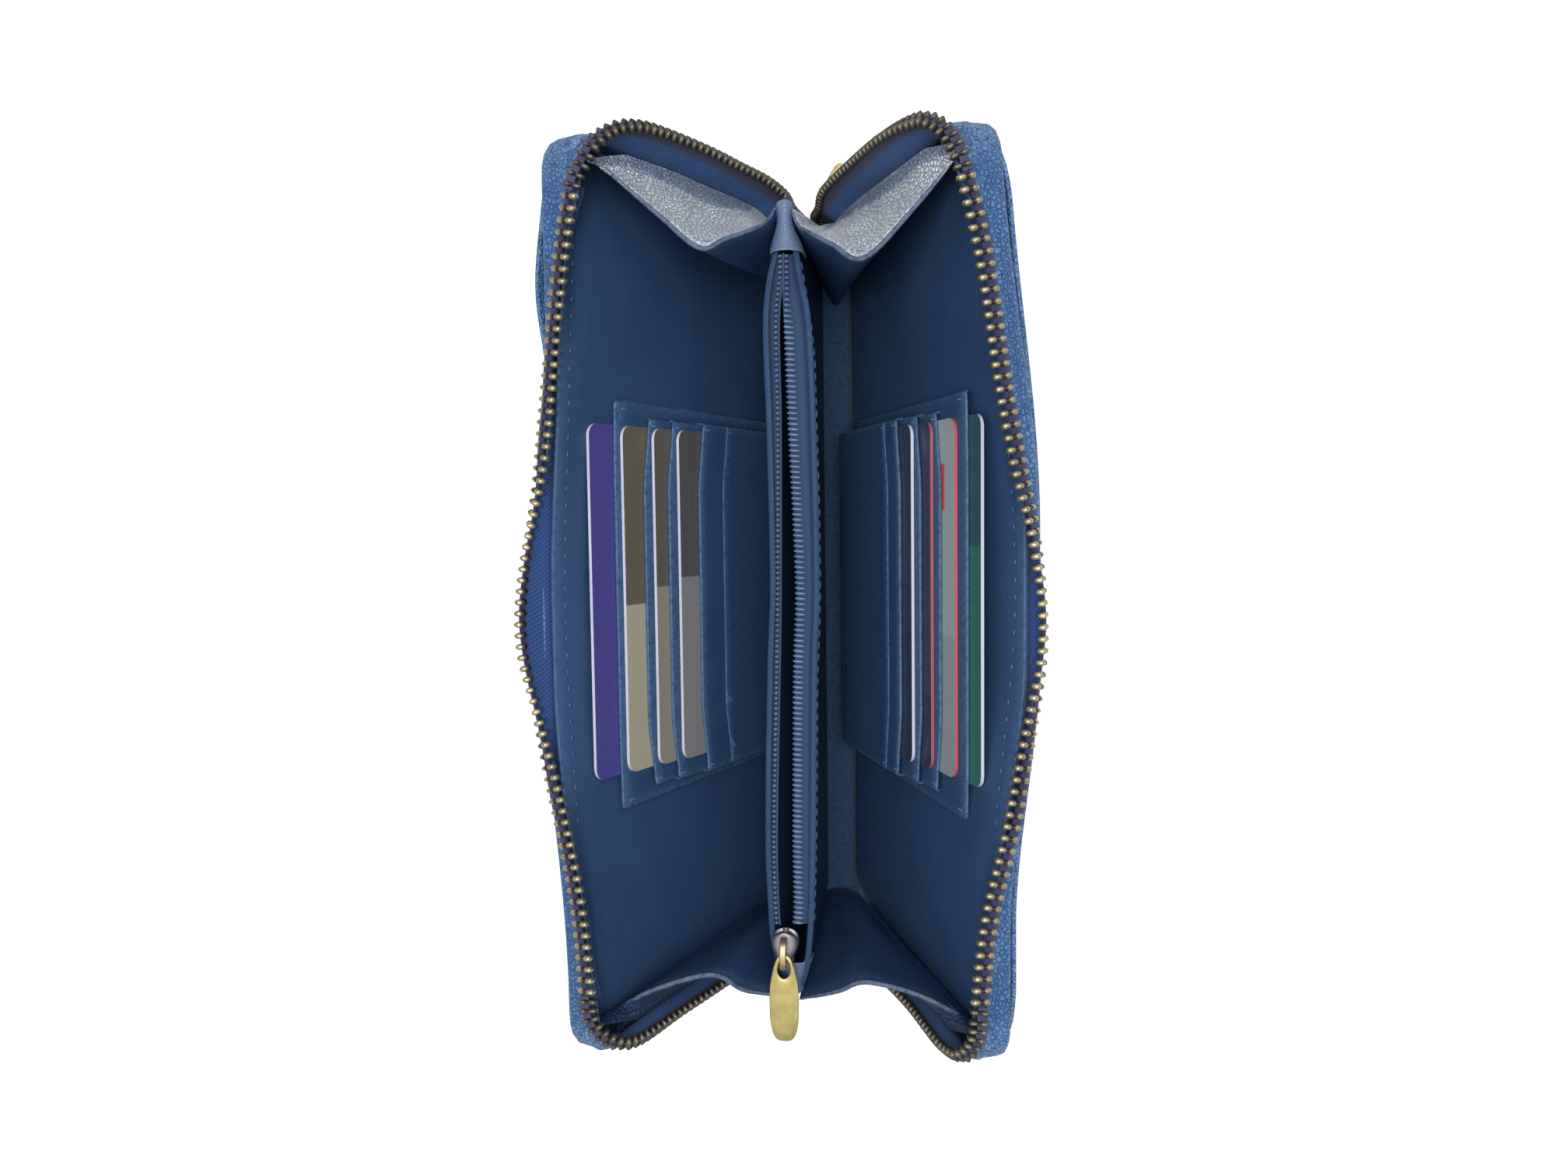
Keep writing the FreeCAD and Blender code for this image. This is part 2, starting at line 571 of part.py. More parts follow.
def make_main_zip(name, side):
    """Tape and metal teeth: rigid along the long side, loose from the rim corners down to the spine."""
    lean = cover_placement(side)
    stop = long_side_end() - mm("tooth_pitch")
    wires = [tape_section(side, stop * (2 * k / TAPE_STATIONS - 1)) for k in range(TAPE_STATIONS + 1)]
    feature(f"{name}_zip_tape", Part.makeLoft(wires, True, True), lean)

    count = int(2 * stop / mm("tooth_pitch"))
    first = -mm("tooth_pitch") * (count - 1) / 2
    teeth = []
    for index in range(count):
        along = first + index * mm("tooth_pitch")
        step = mm("tooth_thickness") / 2
        points = []
        for place in (along - step, along, along + step):
            depth, height = chain_on_cover(place)
            points.append(on_cover(side, depth, place, height))
        foot_depth, foot_height = tape_foot(along)
        out = points[1] - on_cover(side, foot_depth, along, foot_height)
        teeth.append(tooth(points[1], points[2] - points[0], out))
    feature(f"{name}_zip_teeth", Part.makeCompound(teeth), lean)

    tapes = []
    loose_teeth = []
    for _, end in ENDS:
        chain = smooth_edge(end_chain_points(side, end))
        seam = smooth_edge(cover_end_seam(side, end))
        row = chain.discretize(Number=int(chain.Length / mm("tooth_pitch")) + 1)
        anchors = seam.discretize(Number=len(row))
        inner = []
        for index in range(1, len(row) - 1):
            along = row[index + 1] - row[index - 1]
            out = row[index] - anchors[index]
            loose_teeth.append(tooth(row[index], along, out))
            flat = Vector(out).normalize()
            inner.append(row[index] - flat * (mm("tooth_length") / 2 + mm("end_tape_gap")))
        inner_edge = smooth_edge(every_other(inner))
        outer_edge = smooth_edge(every_other(anchors[1:-1]))
        sheet = Part.makeRuledSurface(outer_edge, inner_edge)
        tapes.append(sheet.extrude(Vector(0, -end * mm("tape_wall"), 0)))
    feature(f"{name}_end_tapes", Part.makeCompound(tapes))
    feature(f"{name}_end_teeth", Part.makeCompound(loose_teeth))


# ---------------------------------------------------------------- gussets

def make_gusset(name, side, end_name, end):
    """A V-folded leather side that joins a cover's end to the coin pocket and limits how far it opens."""
    wall = mm("gusset_wall")
    edge = end * (HALF - mm("end_chain_inset") - mm("tape_wall") - mm("gusset_gap") - wall)
    low = mm("hinge_level") + mm("bill_bottom")
    rim_depth, rim_height = chain_on_cover(long_side_end())
    rim = in_world(side, rim_depth, 0, rim_height)
    pocket_end = POCKET_REAR if end > 0 else POCKET_FRONT
    pocket_side = mm("pocket_end_half") + mm("cap_side_gap") + mm("cap_wall") + mm("gusset_gap")

    def line(foot, top):
        start, stop = Vector(side * foot[0], foot[1], low), Vector(side * top[0], *top[1:])
        return Part.LineSegment(start, stop).toShape()

    cover_line = line((mm("hinge_offset") - mm("band_depth"), edge),
                      (abs(rim.x) - mm("gusset_rim_gap"), edge, rim.z - mm("gusset_rim_drop")))
    fold_line = line((mm("gusset_foot_reach"), pocket_end - end * mm("gusset_foot_inset")),
                     (mm(f"{end_name}_fold_reach"), end * (HALF - mm(f"{end_name}_fold_inset")),
                      HEIGHT - mm(f"{end_name}_fold_drop")))
    pocket_line = line((pocket_side, pocket_end - end * mm("gusset_seam_inset")),
                       (pocket_side, pocket_end - end * mm("gusset_top_inset"),
                        mm("pocket_top") + mm("gusset_top_rise")))
    out = Vector(0, end * wall, 0)
    cover_leaf = Part.makeRuledSurface(cover_line, fold_line).extrude(out)
    pocket_leaf = Part.makeRuledSurface(fold_line, pocket_line).extrude(out)
    feature(f"{name}_{end_name}_gusset", cover_leaf.fuse(pocket_leaf).removeSplitter())


# ---------------------------------------------------------------- sliders and pulls

# Where a pull's bar hangs in its bridge, and how round a slider's and a pull's corners are, as shares.
PIVOT_SHARE, SLIDER_ROUND_SHARE = 0.4, 0.4
TAIL_ROUND_SHARE, HEAD_ROUND_SHARE, EYE_ROUND_SHARE = 0.9, 0.95, 0.45


def make_slider(label, prefix, placement):
    """A zip slider: two plates joined by a nose wedge, and a bridge along its back for the pull."""
    body = add_body(label)
    half_length = f"Sizes.{prefix}_slider_length / 2"
    half_width = f"Sizes.{prefix}_slider_width / 2"
    plate = f"Sizes.{prefix}_plate"
    channel = f"Sizes.{prefix}_channel"

    base = add_sketch(body, "XY_Plane", f"{label}_base", f"-({channel} / 2 + {plate})")
    add_box_outline(base, f"-{half_width}", half_width, f"-{half_length}", half_length)
    add_pad(body, base, f"{label}_base_plate", plate)

    wedge = add_sketch(body, "XY_Plane", f"{label}_wedge", f"-{channel} / 2")
    add_box_outline(wedge, "-Sizes.bridge_width / 2", "Sizes.bridge_width / 2",
                    f"{half_length} - Sizes.wedge_length", half_length)
    add_pad(body, wedge, f"{label}_wedge_post", channel)

    top = add_sketch(body, "XY_Plane", f"{label}_top", f"{channel} / 2")
    add_box_outline(top, f"-{half_width}", half_width, f"-{half_length}", half_length)
    top_plate = add_pad(body, top, f"{label}_top_plate", plate)
    round_edges(body, top_plate, f"{label}_corners", f"{half_width} * {SLIDER_ROUND_SHARE}",
                lambda e: runs_along(e, Vector(0, 0, 1)) and abs(e.CenterOfMass.x) > mm("bridge_width"))

    foot_low = f"{channel} / 2 + {plate}"
    bridge = add_sketch(body, "YZ_Plane", f"{label}_bridge", "-Sizes.bridge_width / 2")
    tail = f"-({half_length}) - Sizes.bridge_tail + Sizes.bridge_wall"
    nose = f"{half_length} - Sizes.bridge_nose"
    add_box_outline(bridge, tail, nose, foot_low, f"{foot_low} + Sizes.bridge_rise + Sizes.bridge_wall")
    add_pad(body, bridge, f"{label}_bridge_block", "Sizes.bridge_width")
    opening = add_sketch(body, "YZ_Plane", f"{label}_bridge_opening", "Sizes.bridge_width")
    add_box_outline(opening, f"{tail} + Sizes.bridge_wall", f"{nose} - Sizes.bridge_wall",
                    foot_low, f"{foot_low} + Sizes.bridge_rise")
    eye = body.newObject("PartDesign::Pocket", f"{label}_bridge_eye")
    eye.Profile = opening
    eye.setExpression("Length", "2 * Sizes.bridge_width")
    body.Tip = eye
    body.Placement = placement
    return body


def pull_pivot(prefix):
    """Where a pull's bar hangs inside the slider's bridge, in the slider's own frame."""
    post = mm(f"{prefix}_slider_length") / 2 + mm("bridge_tail") - 2 * mm("bridge_wall")
    along = mm("pull_bar") / 2 + mm("pull_gap") - post
    up = mm(f"{prefix}_channel") / 2 + mm(f"{prefix}_plate") + PIVOT_SHARE * mm("bridge_rise")
    return Vector(0, along, up)


def make_pull(label, prefix, placement):
    """A flat tab with a long eye.  Its own origin is on its pivot bar, and it lies along -Y."""
    body = add_body(label)
    half_width = f"Sizes.{prefix}_pull_width / 2"
    bar = "Sizes.pull_bar / 2"
    outline = add_sketch(body, "XY_Plane", f"{label}_outline", "-Sizes.pull_wall / 2")
    add_box_outline(outline, f"-{half_width}", half_width, f"{bar} - Sizes.{prefix}_pull_length", bar)
    tab = add_pad(body, outline, f"{label}_tab", "Sizes.pull_wall")
    eye = add_sketch(body, "XY_Plane", f"{label}_eye", "-Sizes.pull_wall")
    add_box_outline(eye, "-Sizes.pull_hole_width / 2", "Sizes.pull_hole_width / 2",
                    f"-{bar} - Sizes.pull_hole_length", f"-{bar}")
    hole = body.newObject("PartDesign::Pocket", f"{label}_hole")
    hole.Profile = eye
    hole.Reversed = True
    hole.setExpression("Length", "3 * Sizes.pull_wall")
    doc.recompute()
    length = mm(f"{prefix}_pull_length")
    tail = round_edges(body, hole, f"{label}_tail", f"{half_width} * {TAIL_ROUND_SHARE}",
                       lambda e: runs_along(e, Vector(0, 0, 1)) and e.CenterOfMass.y < -length / 2)
    shoulder = mm("pull_hole_width") / 2 + mm("layer_gap")
    head = round_edges(body, tail, f"{label}_head", f"{half_width} * {HEAD_ROUND_SHARE}",
                       lambda e: runs_along(e, Vector(0, 0, 1)) and e.CenterOfMass.y > 0
                       and abs(e.CenterOfMass.x) > shoulder)
    round_edges(body, head, f"{label}_eye_rounds", f"Sizes.pull_hole_width * {EYE_ROUND_SHARE}",
                lambda e: runs_along(e, Vector(0, 0, 1)) and e.CenterOfMass.y > -length / 2
                and abs(e.CenterOfMass.x) < shoulder)
    body.Placement = placement
    return body


def coin_slider_placement():
    middle = coin_slider_back() + mm("coin_slider_length") / 2
    return Placement(Vector(0, middle, COIL_LEVEL), Rotation())


def main_slider_placement():
    """Set on end against the spine: its length up, its bridge facing out of the wallet."""
    turn = Rotation(Vector(0, 1, 1), 180)
    level = mm("main_slider_level") + mm("main_slider_length") / 2
    return Placement(Vector(0, HALF - mm("end_chain_inset"), level), turn)


def main_pull_placement():
    pivot = main_slider_placement().multVec(pull_pivot("main"))
    about = Rotation(Vector(0, 0, 1), 180)
    dip = Rotation(Vector(1, 0, 0), mm("main_pull_drop"))
    swing = Rotation(Vector(0, 0, 1), -mm("main_pull_swing"))
    return Placement(pivot, about.multiply(dip).multiply(swing))


def coin_pull_placement():
    frame = coin_slider_placement()
    return Placement(frame.multVec(pull_pivot("coin")), Rotation())


# ---------------------------------------------------------------- the wallet

make_spine()
make_coin_pocket()
for cover_name, cover_side in SIDES:
    make_cover(cover_name, cover_side)
    make_slots(cover_name, cover_side)
    make_cards(cover_name, cover_side)
    make_main_zip(cover_name, cover_side)
    for gusset_end, end_sign in ENDS:
        make_gusset(cover_name, cover_side, gusset_end, end_sign)
make_slider("coin_zip_slider", "coin", coin_slider_placement())
make_pull("coin_zip_pull", "coin", coin_pull_placement())
make_slider("main_zip_slider", "main", main_slider_placement())
make_pull("main_zip_pull", "main", main_pull_placement())
doc.recompute()

# ---------------------------------------------------------------- checks and files

for item in doc.Objects:
    if "Invalid" in item.State or "Error" in item.State:
        raise RuntimeError(f"{item.Label}: {item.State}")
for part in SUBPARTS:
    if part.Shape.isNull() or not part.Shape.isValid() or not part.Shape.Solids:
        raise RuntimeError(f"{part.Label}: no valid solid")

os.makedirs("parts", exist_ok=True)
for part in SUBPARTS:
    part.Shape.exportStep(f"parts/{part.Label}.step")
print(len(SUBPARTS), "sub-parts written")
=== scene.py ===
import json
import math

import bpy
from mathutils import Euler, Matrix, Vector
from mathutils.geometry import interpolate_bezier


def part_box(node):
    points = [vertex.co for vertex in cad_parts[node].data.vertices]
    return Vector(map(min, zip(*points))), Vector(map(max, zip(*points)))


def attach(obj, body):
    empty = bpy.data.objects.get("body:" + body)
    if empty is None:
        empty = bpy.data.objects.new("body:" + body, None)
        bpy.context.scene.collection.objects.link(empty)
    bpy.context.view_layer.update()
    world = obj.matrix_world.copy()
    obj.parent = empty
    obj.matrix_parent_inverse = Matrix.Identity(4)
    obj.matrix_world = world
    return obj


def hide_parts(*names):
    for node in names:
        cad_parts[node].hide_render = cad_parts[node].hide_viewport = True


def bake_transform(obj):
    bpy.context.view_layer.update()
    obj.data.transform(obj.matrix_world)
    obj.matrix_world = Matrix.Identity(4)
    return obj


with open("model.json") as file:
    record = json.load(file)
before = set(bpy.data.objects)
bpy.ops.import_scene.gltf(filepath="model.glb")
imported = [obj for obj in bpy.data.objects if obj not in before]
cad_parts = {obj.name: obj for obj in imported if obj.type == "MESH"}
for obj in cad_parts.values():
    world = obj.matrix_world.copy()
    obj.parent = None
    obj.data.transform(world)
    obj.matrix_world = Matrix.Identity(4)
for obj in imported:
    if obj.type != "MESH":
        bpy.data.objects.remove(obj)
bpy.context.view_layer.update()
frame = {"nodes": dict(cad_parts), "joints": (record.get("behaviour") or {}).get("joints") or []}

# Zip-around travel wallet, standing on its spine with both covers opened to a V.  Metres, +Z up, front at -Y.
# A cover's own coordinates: depth inwards from its outer face, along the spine, and height up from its hinge.

MM = 0.001
SIDES = (("left", -1), ("right", 1))
ENDS = (("front", -1), ("rear", 1))
BACK = "wallet_back"
JOINTS = {joint["name"]: joint for joint in frame["joints"]}
HINGE = Vector(JOINTS["right_cover_hinge"]["pos_m"])
RISE = Vector(JOINTS["right_card_1_slide"]["axis"])
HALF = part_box("spine_leather")[1].y
TALL = (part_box("right_cover_leather")[1].x - HINGE.x) / RISE.x
RIM_RADIUS = 9 * MM
BAND_DEPTH = 4.0 * MM
# The middles of the sheets in a cover, in from its outer face.
BOARD_DEPTH = 2.1 * MM
LINING_DEPTH = 3.2 * MM
PANEL_DEPTH = 4.5 * MM
SLOT_DEPTH = 7.1 * MM
SLOT_STEP = 1.8 * MM
EMPTY_SLOT_DEPTH = 13.05 * MM


# ---------------------------------------------------------------- places on the wallet

# Keys are the side, left -1 and right 1, or the side and the end, front -1 and rear 1.
# How far each cover's rim bows out at mid-length.
RIM_BOW = {-1: 1.2 * MM, 1: 3.3 * MM}
# Where the rim starts to turn in towards an end, over what length, and by how much.
RIM_TURN = {
    (-1, -1): (18 * MM, 72 * MM, 5.4 * MM),
    (-1, 1): (0.0, 62 * MM, 3.6 * MM),
    (1, -1): (12 * MM, 62 * MM, 7.0 * MM),
    (1, 1): (12 * MM, 95 * MM, 9.6 * MM),
}
# How far the rim runs out past the spine's end, and the stretch of the cover that is drawn out to it.
RIM_REACH = {(-1, -1): 4.4 * MM, (-1, 1): 3.2 * MM, (1, -1): 1.8 * MM, (1, 1): 0.3 * MM}
REACH_START = 62 * MM
REACH_RUN = 44 * MM


def curl_at(side, along, height):
    """How far a cover's sheets stand in from their flat plane."""
    start, run, turn = RIM_TURN[side, 1 if along > 0 else -1]
    rise = max(height, 0) / TALL
    return (turn * eased((abs(along) - start) / run) - RIM_BOW[side]) * rise


def on_cover(side, depth, along, height, stretched=True):
    """A point of the wallet from a cover's own coordinates."""
    if stretched:
        end = 1 if along > 0 else -1
        drawn = eased((abs(along) - REACH_START) / REACH_RUN)
        along += end * RIM_REACH[side, end] * drawn * max(height, 0) / TALL
    return Vector((side * (HINGE.x + RISE.x * height - RISE.z * depth), along,
                   HINGE.z + RISE.z * height + RISE.x * depth))


def inwards(side):
    """The direction that a cover's lining faces."""
    return Vector((-side * RISE.z, 0, RISE.x))


def upwards(side):
    """The direction from a cover's hinge to its rim."""
    return Vector((side * RISE.x, 0, RISE.z))


def eased(share):
    """A share from 0 to 1 that starts and stops softly."""
    share = min(max(share, 0.0), 1.0)
    return share * share * (3 - 2 * share)


def round_corner(along, height, half, top, radius):
    """Draws a rectangle's two rim corners in to a round, and leaves the rest where it is."""
    over_y, over_z = abs(along) - (half - radius), height - (top - radius)
    if over_y <= 0 or over_z <= 0:
        return along, height
    turned_y = over_y * math.sqrt(1 - (over_z / radius) ** 2 / 2)
    turned_z = over_z * math.sqrt(1 - (over_y / radius) ** 2 / 2)
    return math.copysign(half - radius + turned_y, along), top - radius + turned_z


def smooth_row(points, step):
    """Evenly spaced places on a smooth line through a few points."""
    fine = []
    for i in range(len(points) - 1):
        start, stop = points[i], points[i + 1]
        before, after = points[max(i - 1, 0)], points[min(i + 2, len(points) - 1)]
        leave, arrive = (stop - before) / 6, (after - start) / 6
        fine += interpolate_bezier(start, start + leave, stop - arrive, stop, 20)[:-1]
    fine.append(points[-1])
    row, left = [fine[0]], step
    for start, stop in zip(fine, fine[1:]):
        run = (stop - start).length
        while run >= left:
            start = start + (stop - start).normalized() * left
            run -= left
            left = step
            row.append(start)
        left -= run
    return row


def level_at(stations, along):
    """A smooth level between a few given (place, level) stations."""
    last = len(stations) - 1
    i = 0
    while i < last - 1 and along > stations[i + 1][0]:
        i += 1
    before, start, stop, after = (stations[max(i - 1, 0)], stations[i], stations[i + 1],
                                  stations[min(i + 2, last)])
    run = stop[0] - start[0]
    t = min(max((along - start[0]) / run, 0.0), 1.0)
    leave = (stop[1] - before[1]) / (stop[0] - before[0]) * run
    reach = (after[1] - start[1]) / (after[0] - start[0]) * run
    square, cube = t * t, t * t * t
    return ((2 * cube - 3 * square + 1) * start[1] + (cube - 2 * square + t) * leave
            + (3 * square - 2 * cube) * stop[1] + (cube - square) * reach)


def at_share(row, share):
    """The place at a share, 0 to 1, of a row of points."""
    place = min(max(share, 0.0), 1.0) * (len(row) - 1)
    first = min(int(place), len(row) - 2)
    return row[first].lerp(row[first + 1], place - first)


def curve_between(start, leave, arrive, stop, share):
    """A place on the bend that leaves its start and arrives at its stop in the two given directions."""
    rest = 1 - share
    return (start * rest ** 3 + (start + leave) * 3 * rest ** 2 * share
            + (stop - arrive) * 3 * rest * share ** 2 + stop * share ** 3)


# ---------------------------------------------------------------- modelling helpers

def pick(piece):
    """Makes a piece the only one selected, and the active one."""
    bpy.ops.object.select_all(action="DESELECT")
    piece.select_set(True)
    bpy.context.view_layer.objects.active = piece


def named(name):
    """The object that was made last, under this name."""
    piece = bpy.context.object
    piece.name = piece.data.name = name
    return piece


def add_sheet(name, cells_along, cells_across, place, flat=(1.0, 1.0)):
    """A flat grid laid onto a surface: place(a, b) turns its two shares, 0 to 1, into a point.

    Its UV map is in metres, so that a weave keeps its size."""
    bpy.ops.object.select_all(action="DESELECT")
    bpy.ops.mesh.primitive_grid_add(x_subdivisions=cells_along, y_subdivisions=cells_across, size=2)
    piece = named(name)
    mesh = piece.data
    shares = [((v.co.x + 1) / 2, (v.co.y + 1) / 2) for v in mesh.vertices]
    uv = mesh.uv_layers[0].data
    for loop in mesh.loops:
        a, b = shares[loop.vertex_index]
        uv[loop.index].uv = (a * flat[0], b * flat[1])
    for vertex, (a, b) in zip(mesh.vertices, shares):
        vertex.co = place(a, b)
    mesh.update()
    return piece


def edit(piece, operator, **settings):
    """Runs one edit-mode operator on what is selected in the piece."""
    pick(piece)
    bpy.ops.object.mode_set(mode="EDIT")
    operator(**settings)
    bpy.ops.object.mode_set(mode="OBJECT")


def select_where(piece, kind, test):
    """Selects the vertices, edges or faces that a test picks out."""
    pick(piece)
    bpy.ops.object.mode_set(mode="EDIT")
    bpy.ops.mesh.select_mode(type=kind)
    bpy.ops.mesh.select_all(action="DESELECT")
    bpy.ops.object.mode_set(mode="OBJECT")
    mesh = piece.data
    chosen = {"VERT": mesh.vertices, "EDGE": mesh.edges, "FACE": mesh.polygons}[kind]
    for item in chosen:
        item.select = test(item)


def aim(piece, direction):
    """Turns an open sheet's faces to look in a direction."""
    total = Vector()
    for face in piece.data.polygons:
        total += face.normal * face.area
    if total.dot(direction) < 0:
        select_where(piece, "FACE", lambda face: True)
        edit(piece, bpy.ops.mesh.flip_normals)


def apply_modifier(piece, kind, **settings):
    """Puts one modifier on a piece and applies it at once."""
    pick(piece)
    modifier = piece.modifiers.new(kind.title(), kind)
    for name, value in settings.items():
        setattr(modifier, name, value)
    bpy.ops.object.modifier_apply(modifier=modifier.name)


def thicken(piece, wall, offset=0.0, even=True):
    """Gives a sheet its wall."""
    apply_modifier(piece, "SOLIDIFY", thickness=wall, offset=offset, use_even_offset=even)


def close_ends(piece):
    """Fills the open ends of a tube and turns its faces outwards."""
    counts = edge_counts(piece.data)
    select_where(piece, "EDGE", lambda edge: counts[edge.index] == 1)
    edit(piece, bpy.ops.mesh.edge_face_add)
    select_where(piece, "FACE", lambda face: True)
    edit(piece, bpy.ops.mesh.normals_make_consistent, inside=False)


def soften(piece, width, segments=2, angle=50):
    """Rounds a piece's sharp edges."""
    apply_modifier(piece, "BEVEL", width=width, segments=segments, limit_method="ANGLE",
                   angle_limit=math.radians(angle), harden_normals=False)


def shade(piece, angle):
    """Shades a piece smooth, apart from edges sharper than this angle in degrees."""
    pick(piece)
    bpy.ops.object.shade_smooth_by_angle(angle=math.radians(angle))


def build_up(piece, direction, wall, material, rounding=0.0, smooth=60, **solid):
    """Turns an open sheet into a finished piece: faced, thick, rounded at its edges, coloured and smooth."""
    aim(piece, direction)
    thicken(piece, wall, **solid)
    if rounding:
        soften(piece, rounding)
    wear(piece, material)
    shade(piece, smooth)
    return piece


def join(name, parts):
    """Several objects as one, under this name."""
    bpy.ops.object.select_all(action="DESELECT")
    for part in parts:
        part.select_set(True)
    bpy.context.view_layer.objects.active = parts[0]
    bpy.ops.object.join()
    return named(name)


def copies(name, model, placements):
    """One piece made of copies of a model, each with its own mesh."""
    made = []
    for placement in placements:
        copy = model.copy()
        copy.data = model.data.copy()
        copy.data.transform(placement)
        bpy.context.scene.collection.objects.link(copy)
        made.append(copy)
    return join(name, made)


def discard(piece):
    """Removes a model once its copies are made."""
    bpy.data.objects.remove(piece)


def frame_at(centre, out, along):
    """A placement whose X points out and whose Y runs along a row."""
    along = along.normalized()
    out = (out - along * out.dot(along)).normalized()
    up = out.cross(along)
    turn = Matrix((out, along, up)).transposed().to_4x4()
    return Matrix.Translation(centre) @ turn


def wear(piece, *materials):
    """Gives a piece these materials, and no others."""
    piece.data.materials.clear()
    for material in materials:
        piece.data.materials.append(material)
    return piece


def settle(piece, body, slot, *nodes):
    """Hands a finished piece to its body, and hides the CAD nodes that it stands for. Its finish, the slot,
    is not used.
    """
    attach(piece, body)
    if nodes:
        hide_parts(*nodes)
    return piece


def settle_bent(piece, side, slot, *nodes):
    """Bakes the placement into a piece that runs down to where a cover hinges on the spine, and hides the CAD
    nodes that it stands for.
    """
    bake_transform(piece)
    if nodes:
        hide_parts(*nodes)
    return piece


# ---------------------------------------------------------------- shader helpers

def colour(code):
    """A linear colour from the usual six figures."""
    values = [int(code[i:i + 2], 16) / 255 for i in (1, 3, 5)]
    return tuple(v / 12.92 if v <= 0.04045 else ((v + 0.055) / 1.055) ** 2.4 for v in values) + (1.0,)


def feed(tree, socket, value):
    """Gives a socket a plain value or another node's output."""
    if isinstance(value, bpy.types.NodeSocket):
        tree.links.new(value, socket)
    else:
        socket.default_value = value


def put(tree, kind, settings=None, **inputs):
    """Adds a node with its settings and inputs."""
    node = tree.nodes.new("ShaderNode" + kind)
    for name, value in (settings or {}).items():
        setattr(node, name, value)
    for name, value in inputs.items():
        feed(tree, node.inputs[name.replace("_", " ")], value)
    return node


def calc(tree, operation, first, second=0.0, clamp=False):
    """One calculation on two values, each of them a socket or a number."""
    node = put(tree, "Math", {"operation": operation, "use_clamp": clamp})
    feed(tree, node.inputs[0], first)
    feed(tree, node.inputs[1], second)
    return node.outputs[0]


def times(tree, value, factor):
    """A value, scaled."""
    return calc(tree, "MULTIPLY", value, factor)


def blend_colour(tree, share, low, high):
    """A colour between two others."""
    node = put(tree, "Mix", {"data_type": "RGBA"})
    for index, value in ((0, share), (6, low), (7, high)):
        feed(tree, node.inputs[index], value)
    return node.outputs[2]


def ranged(tree, value, low, high, to_low=0.0, to_high=1.0):
    """A soft step from one value to another."""
    node = put(tree, "MapRange", {"interpolation_type": "SMOOTHSTEP"}, Value=value, From_Min=low,
               From_Max=high, To_Min=to_low, To_Max=to_high)
    return node.outputs[0]


def new_group(name, inputs, outputs):
    """An empty shader group with float and vector sockets, by name and first value."""
    tree = bpy.data.node_groups.new(name, "ShaderNodeTree")
    for label, value in inputs:
        kind = "NodeSocketVector" if value is None else "NodeSocketFloat"
        socket = tree.interface.new_socket(label, in_out="INPUT", socket_type=kind)
        if value is not None:
            socket.default_value = value
    for label in outputs:
        tree.interface.new_socket(label, in_out="OUTPUT", socket_type="NodeSocketFloat")
    return tree, tree.nodes.new("NodeGroupInput").outputs, tree.nodes.new("NodeGroupOutput").inputs


def make_grain_group():
    """Leather grain: rounded pebbles between creases, with a fine second grain."""
    tree, given, made = new_group("leather_grain", [("Vector", None), ("Cell", 900.0), ("Stretch", 0.5)],
                                  ["Height", "Crease"])
    where = given["Vector"]
    wander = put(tree, "TexNoise", Vector=where, Scale=times(tree, given["Cell"], 0.4), Detail=2.0)
    shift = put(tree, "VectorMath", {"operation": "SCALE"}, Vector=wander.outputs["Color"],
                Scale=calc(tree, "DIVIDE", given["Stretch"], given["Cell"]))
    moved = put(tree, "VectorMath", {"operation": "ADD"})
    tree.links.new(where, moved.inputs[0])
    tree.links.new(shift.outputs[0], moved.inputs[1])
    cells = put(tree, "TexVoronoi", {"feature": "DISTANCE_TO_EDGE"}, Vector=moved.outputs[0],
                Scale=given["Cell"])
    domes = put(tree, "TexVoronoi", {"feature": "SMOOTH_F1"}, Vector=moved.outputs[0], Scale=given["Cell"],
                Smoothness=0.6)
    fine = put(tree, "TexNoise", Vector=where, Scale=times(tree, given["Cell"], 3.5), Detail=3.0)
    ridge = ranged(tree, cells.outputs["Distance"], 0.0, 0.22)
    dome = calc(tree, "SUBTRACT", 1.0, domes.outputs["Distance"])
    height = calc(tree, "ADD", times(tree, ridge, 0.55), times(tree, dome, 0.35))
    height = calc(tree, "ADD", height, times(tree, fine.outputs["Fac"], 0.15))
    tree.links.new(height, made["Height"])
    tree.links.new(calc(tree, "SUBTRACT", 1.0, ridge), made["Crease"])
    return tree


def make_mottle_group():
    """Broad, soft changes of tone, and rarer worn patches."""
    tree, given, made = new_group("mottle", [("Vector", None), ("Size", 40.0)], ["Tone", "Patch"])
    where = given["Vector"]
    broad = put(tree, "TexNoise", Vector=where, Scale=given["Size"], Detail=4.0, Roughness=0.6)
    finer = times(tree, given["Size"], 2.7)
    patch = put(tree, "TexNoise", Vector=where, Scale=finer, Detail=6.0, Roughness=0.7)
    tree.links.new(ranged(tree, broad.outputs["Fac"], 0.3, 0.7), made["Tone"])
    tree.links.new(ranged(tree, patch.outputs["Fac"], 0.55, 0.75), made["Patch"])
    return tree


def make_edge_group():
    """Rubbed edges, broken up by noise."""
    sockets = [("Vector", None), ("Reach", 0.06), ("Size", 700.0)]
    tree, given, made = new_group("rubbed_edge", sockets, ["Mask"])
    geometry = put(tree, "NewGeometry")
    rough = put(tree, "TexNoise", Vector=given["Vector"], Scale=given["Size"], Detail=3.0)
    sharp = calc(tree, "SUBTRACT", geometry.outputs["Pointiness"], 0.5)
    sharp = calc(tree, "DIVIDE", sharp, given["Reach"], clamp=True)
    tree.links.new(times(tree, sharp, ranged(tree, rough.outputs["Fac"], 0.25, 0.6)), made["Mask"])
    return tree


